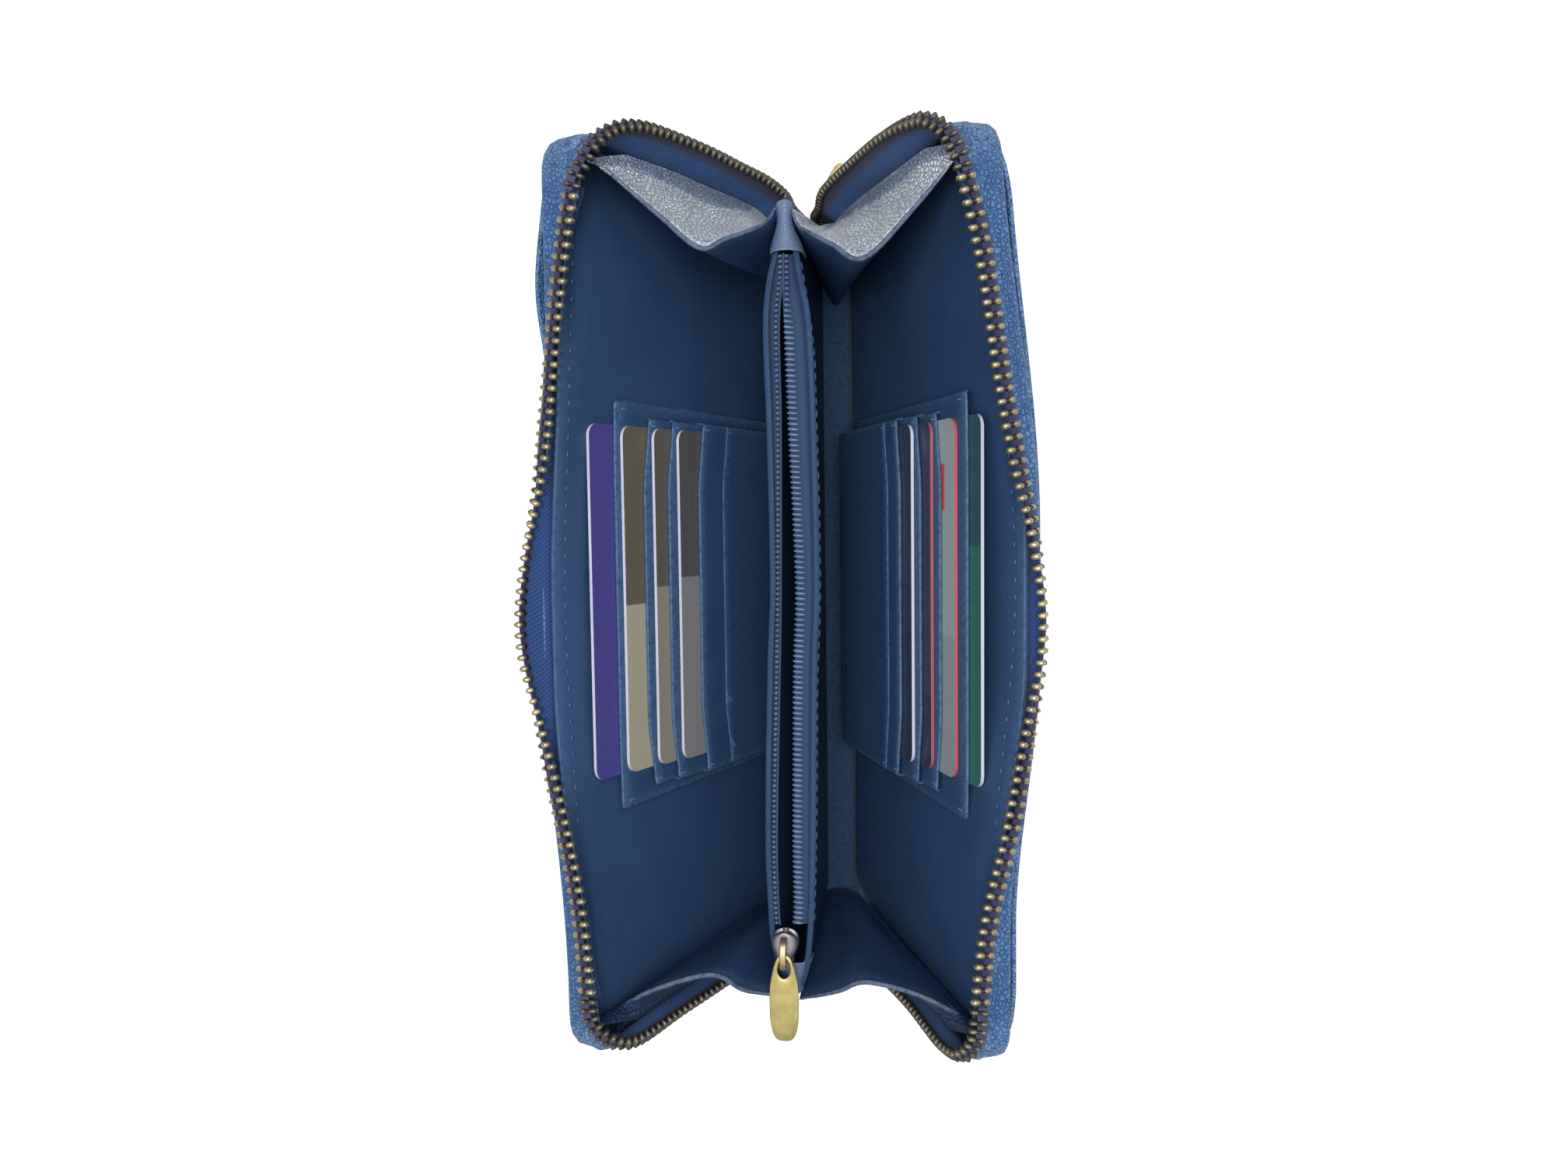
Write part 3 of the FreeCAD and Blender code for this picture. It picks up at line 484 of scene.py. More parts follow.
def make_twill_group():
    """Woven tape: slanted ribs crossed by fine threads, read from a map in metres."""
    tree, given, made = new_group("twill", [("Vector", None), ("Pitch", 0.8 * MM), ("Slant", 0.6)],
                                  ["Height", "Rib"])
    parts = put(tree, "SeparateXYZ", Vector=given["Vector"])
    slanted = calc(tree, "ADD", parts.outputs["X"], times(tree, parts.outputs["Y"], given["Slant"]))
    turns = times(tree, calc(tree, "DIVIDE", slanted, given["Pitch"]), 2 * math.pi)
    rib = calc(tree, "ADD", times(tree, calc(tree, "SINE", turns), 0.5), 0.5)
    across = calc(tree, "SUBTRACT", parts.outputs["Y"], times(tree, parts.outputs["X"], 0.4))
    crossings = times(tree, calc(tree, "DIVIDE", across, given["Pitch"]), 5 * math.pi)
    height = calc(tree, "ADD", rib, times(tree, calc(tree, "SINE", crossings), 0.18))
    tree.links.new(height, made["Height"])
    tree.links.new(rib, made["Rib"])
    return tree


GRAIN = make_grain_group()
MOTTLE = make_mottle_group()
RUBBED = make_edge_group()
TWILL = make_twill_group()


def use(tree, group, **inputs):
    """A group inside a tree, with its inputs fed."""
    return put(tree, "Group", {"node_tree": group}, **inputs)


def new_material(name):
    """A new material's own parts: itself, its tree, its shader and its texture places."""
    material = bpy.data.materials.new(name)
    material.use_nodes = True
    tree = material.node_tree
    tree.nodes.clear()
    shader = tree.nodes.new("ShaderNodeBsdfPrincipled")
    output = tree.nodes.new("ShaderNodeOutputMaterial")
    tree.links.new(shader.outputs[0], output.inputs[0])
    place = tree.nodes.new("ShaderNodeTexCoord")
    return material, tree, shader, place


def bump(tree, shader, height, depth):
    """Raises a shader's surface by a height pattern."""
    node = put(tree, "Bump", Height=height, Distance=depth)
    tree.links.new(node.outputs[0], shader.inputs["Normal"])


# ---------------------------------------------------------------- materials

def leather(name, base, deep, worn, cell, depth, rough=0.5, crease=0.6, gloss_level=0.35):
    """Leather with its own grain size: a painted shade that darkens the creases of its grain towards its deep
    tone, and a paler tone where it is rubbed.
    """
    material, tree, shader, place = new_material(name)
    where = place.outputs["Object"]
    grain = use(tree, GRAIN, Vector=where, Cell=cell)
    mottle = use(tree, MOTTLE, Vector=where, Size=45.0)
    rubbed = use(tree, RUBBED, Vector=where)
    tone = blend_colour(tree, times(tree, mottle.outputs["Tone"], 0.55), colour(base), colour(deep))
    # Painted shade: the creases between the pebbles take the deep tone, as shade would fall in them.
    tone = blend_colour(tree, times(tree, grain.outputs["Crease"], crease), tone, colour(deep))
    lift = calc(tree, "ADD", times(tree, rubbed.outputs["Mask"], 0.6),
                times(tree, mottle.outputs["Patch"], 0.12), clamp=True)
    tone = blend_colour(tree, lift, tone, colour(worn))
    tree.links.new(tone, shader.inputs["Base Color"])
    gloss = calc(tree, "ADD", times(tree, grain.outputs["Crease"], 0.2), rough)
    gloss = calc(tree, "SUBTRACT", gloss, times(tree, mottle.outputs["Patch"], 0.08))
    tree.links.new(gloss, shader.inputs["Roughness"])
    shader.inputs["Specular IOR Level"].default_value = gloss_level
    bump(tree, shader, grain.outputs["Height"], depth)
    return material


def woven(name, base, dark, edge, width, pitch=0.8 * MM):
    """Zip tape: twill ribs, and an edge of its own colour next to the teeth."""
    material, tree, shader, place = new_material(name)
    twill = use(tree, TWILL, Vector=place.outputs["UV"], Pitch=pitch)
    mottle = use(tree, MOTTLE, Vector=place.outputs["Object"], Size=120.0)
    parts = put(tree, "SeparateXYZ", Vector=place.outputs["UV"])
    near_teeth = ranged(tree, parts.outputs["Y"], width - 2.6 * MM, width - 1.6 * MM)
    tone = blend_colour(tree, twill.outputs["Rib"], colour(dark), colour(base))
    tone = blend_colour(tree, times(tree, mottle.outputs["Tone"], 0.25), tone, colour(dark))
    tone = blend_colour(tree, near_teeth, tone, colour(edge))
    tree.links.new(tone, shader.inputs["Base Color"])
    shader.inputs["Roughness"].default_value = 0.75
    shader.inputs["Specular IOR Level"].default_value = 0.2
    shader.inputs["Sheen Weight"].default_value = 0.08
    bump(tree, shader, twill.outputs["Height"], 0.12 * MM)
    return material


def metal(name, bright, dark, rough, patina, brushed=0.0, waist=None):
    """Plated metal that is darker in its hollows, brighter on its edges, and faintly scratched.

    A zip's teeth get a painted shade at the waist, halfway along their map, as shade falls in the narrow
    waist between head and legs."""
    material, tree, shader, place = new_material(name)
    where = place.outputs["Object"]
    rubbed = use(tree, RUBBED, Vector=where, Reach=0.1, Size=1500.0)
    mottle = use(tree, MOTTLE, Vector=where, Size=300.0)
    lines = put(tree, "Mapping", Vector=where, Scale=(3000.0, 60.0, 3000.0))
    scratch = put(tree, "TexNoise", Vector=lines.outputs[0], Scale=1.0, Detail=4.0)
    tone = blend_colour(tree, times(tree, mottle.outputs["Tone"], patina), colour(bright), colour(dark))
    tone = blend_colour(tree, times(tree, rubbed.outputs["Mask"], 0.8), tone, colour(bright))
    # Painted shade: the teeth's narrow waist is darkened as shade would fall in it.
    if waist:
        bar = put(tree, "SeparateXYZ", Vector=place.outputs["UV"])
        middle = calc(tree, "ABSOLUTE", calc(tree, "SUBTRACT", bar.outputs["X"], 0.47))
        tone = blend_colour(tree, ranged(tree, middle, 0.08, 0.2, 0.9, 0.0), tone, colour(waist))
    tree.links.new(tone, shader.inputs["Base Color"])
    shader.inputs["Metallic"].default_value = 1.0
    gloss = calc(tree, "ADD", times(tree, scratch.outputs["Fac"], 0.25), rough)
    gloss = calc(tree, "ADD", gloss, times(tree, mottle.outputs["Patch"], 0.1))
    tree.links.new(gloss, shader.inputs["Roughness"])
    bump(tree, shader, scratch.outputs["Fac"], 0.02 * MM + brushed * 0.05 * MM)
    return material


def plain_plastic(name, base, dark, rough):
    """Moulded or spun plastic: a faint mottle and fine surface noise."""
    material, tree, shader, place = new_material(name)
    mottle = use(tree, MOTTLE, Vector=place.outputs["Object"], Size=260.0)
    fine = put(tree, "TexNoise", Vector=place.outputs["Object"], Scale=4000.0, Detail=2.0)
    tone = blend_colour(tree, mottle.outputs["Tone"], colour(base), colour(dark))
    tree.links.new(tone, shader.inputs["Base Color"])
    gloss = calc(tree, "ADD", times(tree, fine.outputs["Fac"], 0.15), rough)
    tree.links.new(gloss, shader.inputs["Roughness"])
    bump(tree, shader, fine.outputs["Fac"], 0.02 * MM)
    return material


def printed_and_shaded_card(name, side, face, second, split, edge, strip):
    """A plain printed card: coloured edges, one block of a second tone that paints the light and shade
    falling across the card, and a fine print grain.

    The split is where along the card the second tone starts, at the edge of the painted shade; a strip is a
    narrow printed block of a third."""
    material, tree, shader, place = new_material(name)
    turn = put(tree, "VectorMath", {"operation": "DOT_PRODUCT"})
    tree.links.new(place.outputs["Normal"], turn.inputs[0])
    turn.inputs[1].default_value = inwards(side)
    flat = ranged(tree, calc(tree, "ABSOLUTE", turn.outputs["Value"]), 0.4, 0.6)
    parts = put(tree, "SeparateXYZ", Vector=place.outputs["Object"])
    # Painted light and shade: the second tone paints the change of light across the card at the split.
    block = ranged(tree, parts.outputs["Y"], split, split - 0.2 * MM)
    tone = blend_colour(tree, block, colour(face), colour(second))
    if strip:
        start, stop, below, code = strip
        blur = 0.1 * MM
        inside = times(tree, ranged(tree, parts.outputs["Y"], start, start + blur),
                       ranged(tree, parts.outputs["Y"], stop, stop - blur))
        inside = times(tree, inside, ranged(tree, parts.outputs["Z"], below, below - blur))
        tone = blend_colour(tree, inside, tone, colour(code))
    fine = put(tree, "TexNoise", Vector=place.outputs["Object"], Scale=2500.0, Detail=2.0)
    tone = blend_colour(tree, times(tree, fine.outputs["Fac"], 0.12), tone, colour("#808080"))
    tone = blend_colour(tree, flat, colour(edge), tone)
    tree.links.new(tone, shader.inputs["Base Color"])
    gloss = calc(tree, "ADD", times(tree, fine.outputs["Fac"], 0.1), 0.28)
    tree.links.new(gloss, shader.inputs["Roughness"])
    bump(tree, shader, fine.outputs["Fac"], 0.01 * MM)
    return material


# Each leather: its tone, its deep tone, which is also the painted shade in its creases, its rubbed tone, and
# the size and depth of its grain.
OUTER = leather("pebbled_blue_leather", "#366191", "#1d3d6b", "#7898bd", 950.0, 0.6 * MM, crease=0.85)
LINING = leather("smooth_navy_leather", "#2b4466", "#233a5a", "#465f7c", 1600.0, 0.04 * MM, gloss_level=0.2)
SLOT_LEATHER = leather("slot_navy_leather", "#2a4466", "#223a5b", "#55708f", 1600.0, 0.05 * MM,
                       rough=0.48, gloss_level=0.25)
POCKET_LEATHER = leather("pocket_navy_leather", "#213c5a", "#1b3350", "#324862", 1600.0, 0.05 * MM,
                         rough=0.48, gloss_level=0.25)
CAP_LEATHER = leather("cap_navy_leather", "#48597a", "#3a4a66", "#78859c", 1600.0, 0.06 * MM, rough=0.42)
# Painted light: the rear gussets' leather is painted in the light grey sheen that the light gives it, with
# painted highlights in its near-white rubbed tone; the shaded copy below paints the shade on the front
# gussets.
GUSSET = leather("gusset_lit_leather", "#d3d8df", "#7b8798", "#f4f6f8", 900.0, 0.8 * MM,
                 rough=0.36, crease=0.75, gloss_level=0.6)
# The rear seam strips' lit copy, with a painted sheen; the front ones take the shaded copy.
GUSSET_SEAM = leather("gusset_seam_lit_leather", "#8693a8", "#55627a", "#b3bdcb", 950.0, 0.6 * MM, crease=0.8)
GUSSET_FOLD = leather("gusset_fold_leather", "#313f58", "#27344b", "#5d6c86", 1500.0, 0.1 * MM, rough=0.45)
# The shaded copy: painted shade for the front gussets and their seam strips.
GUSSET_SHADE = leather("gusset_shaded_leather", "#1d3050", "#172742", "#364a68", 900.0, 0.4 * MM,
                       gloss_level=0.2)
INNER_GUSSET = leather("inner_gusset_leather", "#2e4870", "#263e63", "#4a6082", 1300.0, 0.08 * MM,
                       rough=0.55, gloss_level=0.15)
SPINE_LINING = leather("spine_navy_leather", "#1b3452", "#172c48", "#264262", 1600.0, 0.03 * MM,
                       rough=0.62, gloss_level=0.2)
# How wide the main zip's tapes are on their maps, and the pitch of their ribs.
LONG_TAPE_MAP = 10.0 * MM
END_TAPE_MAP = 13.0 * MM
MAIN_RIB = 1.05 * MM
# Each tape: its ribs, the furrows between them, its edge, and its width and the ribs' pitch.
TAPE = woven("long_zip_tape", "#213f6e", "#152c54", "#282a4c", LONG_TAPE_MAP, pitch=MAIN_RIB)
END_TAPE = woven("end_zip_tape", "#305d98", "#1d3860", "#3a3a52", END_TAPE_MAP, pitch=MAIN_RIB)
COIN_TAPE = woven("coin_zip_tape", "#223350", "#1a2b46", "#283c5a", 4.6 * MM)
TAPE_BEAD = plain_plastic("corded_tape_edge", "#35354d", "#28283e", 0.75)
NYLON = plain_plastic("spun_nylon", "#4f6180", "#3f5373", 0.36)
THREAD = plain_plastic("blue_thread", "#5b7ba6", "#47648e", 0.6)
DARK_THREAD = plain_plastic("navy_thread", "#3d5678", "#324868", 0.6)
BOARD = plain_plastic("navy_board", "#28364e", "#212d42", 0.8)
# Each metal: its bright tone, its dull tone, how rough it is, and how much of it is dull.
BRASS = metal("antique_brass", "#b3a98b", "#6a5f50", 0.36, 0.6, waist="#332b33")
# The loose ends' teeth: the same brass as the sewn run, in a darker copy that paints the shade on them.
SHADED_BRASS = metal("shaded_brass", "#6e6a5e", "#363331", 0.42, 0.8, waist="#2c2a33")
PULL_BRASS = metal("brushed_brass", "#ada06c", "#84774c", 0.34, 0.5, brushed=1.0)
BAIL_BRASS = metal("bail_brass", "#b39c78", "#75644c", 0.36, 0.6)
SILVER = metal("antique_silver", "#8f8e90", "#55525a", 0.36, 0.6)

# Each card: its tone, a second tone that paints the light and shade falling across part of it, where that
# starts along the wallet, and a printed strip's two ends and colour.
CARD_PRINTS_AND_SHADE = {
    "left_card_1": ("#3b367d", "#352f74", -60 * MM, None),
    "left_card_2": ("#575044", "#999482", -2 * MM, None),
    "left_card_3": ("#504d46", "#7f7b70", 2 * MM, None),
    "left_card_4": ("#474648", "#777679", 4 * MM, None),
    "right_card_1": ("#1d4652", "#1f5f52", 12 * MM, None),
    "right_card_2": ("#8f999d", "#838c92", -10 * MM, (20.2 * MM, 31.4 * MM, "#bd4046")),
    "right_card_3": ("#2b3050", "#232846", -25 * MM, None),
    "right_card_4": ("#26304a", "#1f2a44", -10 * MM, None),
}
PALE_EDGE = "#a9acb9"
CARD_EDGES = {"right_card_2": "#a2434e", "right_card_3": "#8e4751"}
STRIP_DROP = 5.4 * MM


# ---------------------------------------------------------------- stitches

def stitch_model(length):
    """One stitch: a short thread, fat at its middle, sunk at both ends."""
    bpy.ops.object.select_all(action="DESELECT")
    bpy.ops.mesh.primitive_uv_sphere_add(segments=6, ring_count=5, radius=1.0)
    piece = named("stitch_model")
    piece.data.transform(Matrix.Rotation(math.radians(90), 4, "X"))
    piece.data.transform(Matrix.Diagonal((0.22 * MM, length / 2, 0.2 * MM, 1)))
    shade(piece, 80)
    return piece


def sew(name, row, out, body, slot="inner_leather", pitch=3.4 * MM, material=THREAD, length=0.72, bent=0):
    """A row of stitches lying on a seam and standing proud in one direction.

    The length is a stitch's share of the pitch. A row given a side as bent is baked in place instead of
    handed to its body."""
    line = smooth_row(row, pitch)
    model = stitch_model(pitch * length)
    places = [frame_at((start + stop) / 2, out, stop - start) for start, stop in zip(line, line[1:])]
    piece = copies(name, model, places)
    discard(model)
    wear(piece, material)
    if bent:
        return settle_bent(piece, bent, slot)
    return settle(piece, body, slot)


# ---------------------------------------------------------------- covers

def cover_sheet(name, side, half, low, high, radius, depth_at, cells):
    """A leather or board sheet of a cover, whose middle lies at depth_at(along, height)."""
    def place(a, b):
        along, height = round_corner((2 * a - 1) * half, low + b * (high - low), half, high, radius)
        return on_cover(side, depth_at(along, height), along, height)
    return add_sheet(name, cells[0], cells[1], place, (2 * half, high - low))


def make_outer_leather(name, side):
    """The pebbled outer leather, rolled over the rim and turned in beside the zip tape."""
    roll = 1.5 * MM
    end_width = 4.4 * MM
    half, top = HALF - roll, TALL - roll

    def depth(along, height):
        """Bowed, with a slight swell out over the middle."""
        swell = math.cos(math.pi * along / (2 * HALF)) * math.sin(math.pi * min(height / TALL, 1.0))
        return curl_at(side, along, height) - 0.5 * MM * swell

    piece = cover_sheet(f"{name}_outer_leather", side, half, -0.2 * MM, top, RIM_RADIUS - roll, depth,
                        (64, 34))
    aim(piece, -inwards(side))
    to_wallet = frame_of_cover(side)
    to_cover = to_wallet.inverted()
    # Each ring of the turned edge: how far it stays in from the outline, and how deep it lies.  The first
    # ones roll over the rim, in metres, and the rest cross the band, as shares of its width.
    turns = [math.radians(angle) for angle in (25, 50, 72, 90)]
    rolled = [(roll - roll * math.sin(turn), roll - roll * math.cos(turn)) for turn in turns]
    crossing = [(0.0, 0.45), (0.05 * MM, 0.8), (0.35 * MM, 0.97), (1.0 * MM, 1.0)]
    mesh = piece.data
    counts = edge_counts(mesh)

    def above_hinge(edge):
        """The cover's foot stays unrolled."""
        return max((to_cover @ mesh.vertices[v].co).z for v in edge.vertices) > 0.2 * MM

    select_where(piece, "EDGE", lambda edge: counts[edge.index] == 1 and above_hinge(edge))
    last_inset = roll
    for ring_set, on_band in ((rolled, False), (crossing, True)):
        last_deep = 0.0
        for inset, deep in ring_set:
            edit(piece, bpy.ops.mesh.extrude_region_move)
            for vertex in piece.data.vertices:
                if vertex.select:
                    place = to_cover @ vertex.co
                    out = rim_normal(place.y, place.z)
                    step = last_inset - inset
                    on_rim = eased((place.z - TALL + 2 * RIM_RADIUS) / RIM_RADIUS)
                    width = end_width + (band_width(side, place.y) - end_width) * on_rim
                    deeper = (deep - last_deep) * (width - roll if on_band else 1)
                    vertex.co += to_wallet.to_3x3() @ Vector((deeper, out[0] * step, out[1] * step))
            last_inset, last_deep = inset, deep
    thicken(piece, 1.0 * MM, offset=-1.0)
    shade(piece, 60)
    wear(piece, OUTER)
    return settle(piece, f"{name}_cover", "shell_leather", f"{name}_cover_leather", f"{name}_rim_band")


def frame_of_cover(side):
    """The matrix from a cover's depth, along and height to the whole wallet."""
    turn = Matrix((inwards(side), Vector((0, 1, 0)), upwards(side))).transposed().to_4x4()
    return Matrix.Translation(Vector((side * HINGE.x, 0, HINGE.z))) @ turn


def edge_counts(mesh):
    """How many faces meet at each edge."""
    counts = [0] * len(mesh.edges)
    index = {tuple(sorted(edge.vertices)): edge.index for edge in mesh.edges}
    for face in mesh.polygons:
        for key in face.edge_keys:
            counts[index[tuple(sorted(key))]] += 1
    return counts


def rim_normal(along, height):
    """The outward direction, along and up, at a place on a cover's edge."""
    centre_y, centre_z = HALF - RIM_RADIUS, TALL - RIM_RADIUS
    end = 1 if along > 0 else -1
    if abs(along) > centre_y and height > centre_z:
        return Vector((along - end * centre_y, height - centre_z)).normalized()
    if height >= centre_z and HALF - abs(along) > TALL - height:
        return Vector((0.0, 1.0))
    return Vector((float(end), 0.0))


# Each outside pocket's mouth: where it gapes, by how much, over what reach, and how far the rest stands off.
SLIP_MOUTHS = {-1: (72 * MM, 3.4 * MM, 15 * MM, 0.2 * MM), 1: (98 * MM, 0.3 * MM, 30 * MM, 1.3 * MM)}


def make_slip_pocket(name, side):
    """The open pocket on the cover's outside, standing off a little along its mouth."""
    half, low, high = HALF - 3 * MM, 6 * MM, TALL - 3.0 * MM
    gape_at, gape, spread, stand = SLIP_MOUTHS[side]

    def depth(along, height):
        """Flat on the cover at its sewn edges, and standing off towards the mouth."""
        rise = eased((height - low) / (high - low))
        swell = math.exp(-((along - gape_at) / spread) ** 2)
        ends = eased((half - abs(along)) / (14 * MM))
        far = 1 - math.exp(-(along / (48 * MM)) ** 2)
        return curl_at(side, along, height) - 0.65 * MM - rise ** 3 * ends * (stand * far + gape * swell)

    piece = cover_sheet(f"{name}_slip_pocket_leather", side, half, low, high, 8 * MM, depth, (64, 28))
    build_up(piece, -inwards(side), 1.0 * MM, OUTER, rounding=0.25 * MM, smooth=50)
    settle(piece, f"{name}_cover", "shell_leather", f"{name}_slip_pocket")
    inset = 2.4 * MM
    edge = half - inset
    foot = low + inset
    levels = (foot, low + 30 * MM, low + 60 * MM, high - 12 * MM)
    seams = [(end_name, [(end * edge, z) for z in levels]) for end_name, end in ENDS]
    seams.append(("foot", [(y, foot) for y in (-edge, -half / 2, 0, half / 2, edge)]))
    for seam_name, places in seams:
        seam = [on_cover(side, depth(y, z) - 0.5 * MM, y, z) for y, z in places]
        sew(f"{name}_slip_{seam_name}_stitches", seam, -inwards(side), f"{name}_cover", "shell_leather")


def make_board(name, side):
    """The stiffener inside a cover, bowed as the cover is."""
    def depth(along, height):
        """Bowed as the cover is."""
        return curl_at(side, along, height) + BOARD_DEPTH

    inset = 3 * MM
    piece = cover_sheet(f"{name}_bowed_board", side, HALF - inset, 1.5 * MM, TALL - 2.6 * MM,
                        RIM_RADIUS - inset, depth, (40, 20))
    build_up(piece, inwards(side), 1.2 * MM, BOARD, smooth=50)
    settle(piece, f"{name}_cover", "stiffener_board", f"{name}_cover_board")


def make_lining(name, side):
    """The smooth lining behind everything, from the hinge up to the zip tape."""
    def depth(along, height):
        """Bowed as the cover is."""
        return curl_at(side, along, height) + LINING_DEPTH

    inset = 1.4 * MM
    piece = cover_sheet(f"{name}_inner_lining", side, HALF - inset, 0.5 * MM, TALL - 1.3 * MM,
                        RIM_RADIUS - inset, depth, (56, 28))
    build_up(piece, inwards(side), 0.7 * MM, LINING, smooth=50)
    settle(piece, f"{name}_cover", "inner_leather", f"{name}_cover_lining")


def make_bill_pocket(name, side):
    """The full-length inner panel, sewn near its edge, with a soft ripple over the pocket behind it."""
    half, low, high = HALF - 4.0 * MM, 4 * MM, TALL - 0.8 * MM
    border = 8 * MM

    def depth(along, height):
        """Level in the middle, sunk round its border, and drawn up to the turned leather at the rim."""
        ripple = math.sin(along / (17 * MM) + side) * math.sin(height / (23 * MM))
        edge = min(half - abs(along), high - height, border) / border
        level = PANEL_DEPTH - 0.9 * MM * (1 - edge)
        if height > TALL - border:
            at_rim = band_width(side, along) + 0.9 * MM
            level = max(level, at_rim * eased((height - TALL + border) / (7 * MM)))
        return curl_at(side, along, height) + level + 0.35 * MM * ripple * edge

    piece = cover_sheet(f"{name}_inner_panel", side, half, low, high, border, depth, (64, 34))
    build_up(piece, inwards(side), 0.8 * MM, LINING, rounding=0.25 * MM, smooth=50)
    settle(piece, f"{name}_cover", "inner_leather", f"{name}_bill_pocket")
    height = high - 3.4 * MM
    seam = [on_cover(side, depth(y, height) + 0.42 * MM, y, height)
            for y in (-half + 10 * MM, -half / 2, 0, half / 2, half - 10 * MM)]
    sew(f"{name}_panel_stitches", seam, inwards(side), f"{name}_cover", pitch=3.9 * MM, material=DARK_THREAD,
        length=0.32)


# How far each slot's mouth stands above its CAD strip, from the rim down.
MOUTH_LIFTS = {-1: (0.9 * MM, 1.8 * MM, 2.2 * MM, 2.8 * MM), 1: (3.6 * MM, 2.2 * MM, 2.2 * MM, 4.6 * MM)}
# The empty slot below the last card: how high its mouth lies up the cover.
EMPTY_MOUTH = {-1: 52 * MM, 1: 57 * MM}
TURNED_DOWN = 0.9 * MM


def make_slots(name, side):
    """Five stepped card slots, the last one empty."""
    low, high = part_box(f"{name}_slot_strip_1")
    centre = (high.y + low.y) / 2
    widest = (high.y - low.y) / 2
    foot = on_height(f"{name}_slot_strip_1", side, lowest=True)
    for index, lift in enumerate(MOUTH_LIFTS[side]):
        node = f"{name}_slot_strip_{index + 1}"
        half, dip = (widest, 0.4 * MM) if index == 0 else (widest - 3.6 * MM, 2.4 * MM)
        make_slot(name, side, index, centre, half, foot, on_height(node, side) + lift, dip,
                  SLOT_DEPTH + SLOT_STEP * index, (node,))
    make_slot(name, side, 4, centre, widest - 3.6 * MM, foot + 5 * MM, EMPTY_MOUTH[side], 2.4 * MM,
              EMPTY_SLOT_DEPTH, ())


def make_slot(name, side, index, centre, half, foot, top, dip, level, nodes):
    """One card slot: its mouth dips at its ends over a sewn hem, and its ends turn down onto the panel.

    The empty slot, which has no CAD node, is of thinner leather."""
    piece_name = f"{name}_slot_strip_{index + 1}"
    wall, rounding, hem_proud, tack_proud = (0.7 * MM, 0.22 * MM, 0.14 * MM, 0.35 * MM)
    if not nodes:
        wall, rounding, hem_proud, tack_proud = (0.35 * MM, 0.12 * MM, 0.02 * MM, 0.1 * MM)
    end_cells = 0.93

    def depth(along, height):
        """Level over the cards, and turned down onto the panel at both ends."""
        sink = eased((abs(along) - half + TURNED_DOWN) / TURNED_DOWN)
        panel = curl_at(side, along + centre, height) + PANEL_DEPTH + (0.45 + 0.25 * (index + 1)) * MM
        return level + (panel - level) * sink

    def mouth(along):
        """The height of the slot's top, which dips at both ends."""
        return top - dip * eased((abs(along) - half + 20 * MM) / (20 * MM))

    def on_slot(along, height, proud):
        """A place on the slot's leather, or proud of it."""
        return on_cover(side, depth(along, height) + proud, along + centre, height)

    def place(a, b):
        """The outermost cells are the turned-down ends."""
        across = 2 * a - 1
        along = across / end_cells * (half - TURNED_DOWN)
        if abs(across) > end_cells:
            along = math.copysign(half - TURNED_DOWN * (1 - abs(across)) / (1 - end_cells), across)
        height = foot + b * (mouth(along) - foot)
        along, height = round_corner(along, height, half, mouth(along), 2.0 * MM)
        return on_slot(along, height, 0.0)

    piece = add_sheet(f"{piece_name}_leather", 84, 18, place, (2 * half, top - foot))
    build_up(piece, inwards(side), wall, SLOT_LEATHER, rounding=rounding, smooth=50)
    settle(piece, f"{name}_cover", "inner_leather", *nodes)
    seam = []
    for share in (-1, -0.85, -0.5, 0, 0.5, 0.85, 1):
        along = share * (half - 4 * MM)
        seam.append(on_slot(along, mouth(along) - 1.9 * MM, hem_proud))
    sew(f"{piece_name}_hem_stitches", seam, inwards(side), f"{name}_cover", pitch=2.6 * MM,
        material=DARK_THREAD)
    for end_name, end in ENDS:
        along = end * (half - 2.2 * MM)
        tack = [on_slot(along, top - drop, tack_proud) for drop in (2.8 * MM, 5.6 * MM)]
        sew(f"{piece_name}_tack_{end_name}", tack, inwards(side), f"{name}_cover", pitch=1.1 * MM)


def on_height(node, side, lowest=False):
    """How high up its cover a flat node reaches."""
    inverse = frame_of_cover(side).inverted()
    heights = [(inverse @ v.co).z for v in frame["nodes"][node].data.vertices]
    return min(heights) if lowest else max(heights)


def dress_cards():
    """Gives each plain card its own print, with its painted light and shade."""
    for node, (face, second, split, strip) in CARD_PRINTS_AND_SHADE.items():
        side = -1 if node.startswith("left") else 1
        edge = CARD_EDGES.get(node, PALE_EDGE)
        if strip:
            start, stop, code = strip
            strip = (start, stop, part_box(node)[1].z - STRIP_DROP, code)
        wear(frame["nodes"][node], printed_and_shaded_card(f"{node}_print", side, face, second, split, edge, strip))


# ---------------------------------------------------------------- main zip

TOOTH = Vector((4.0 * MM, 1.4 * MM, 2.0 * MM))
TOOTH_PITCH = 2.6 * MM
END_PITCH = 2.35 * MM
TOOTH_HEIGHT = TALL + 2.5 * MM
LONG_STOP = HALF - 14 * MM
# About how long a loose end is, for its tape's map.
END_LENGTH = 130 * MM

# Points of each tooth row along its cover, from front to rear: the place along, and how deep it stands in
# from the cover's plane, both in millimetres.
ROW_DEPTHS = {
    -1: ((-92, 12.9), (-75, 11.7), (-60, 8.8), (-45, 5.3), (-30, 1.0), (-15, -3.2), (-3, -4.6), (10, -2.4),
         (22, 1.0), (35, 3.8), (56, 7.2), (74, 10.0), (84, 11.8), (92, 14.2)),
    1: ((-92, 13.1), (-75, 11.5), (-60, 8.6), (-45, 4.2), (-30, 1.6), (-15, -1.4), (-3, -2.5), (10, -0.7),
        (22, 2.2), (40, 6.2), (60, 9.7), (75, 12.1), (85, 14.4), (92, 16.8)),
}
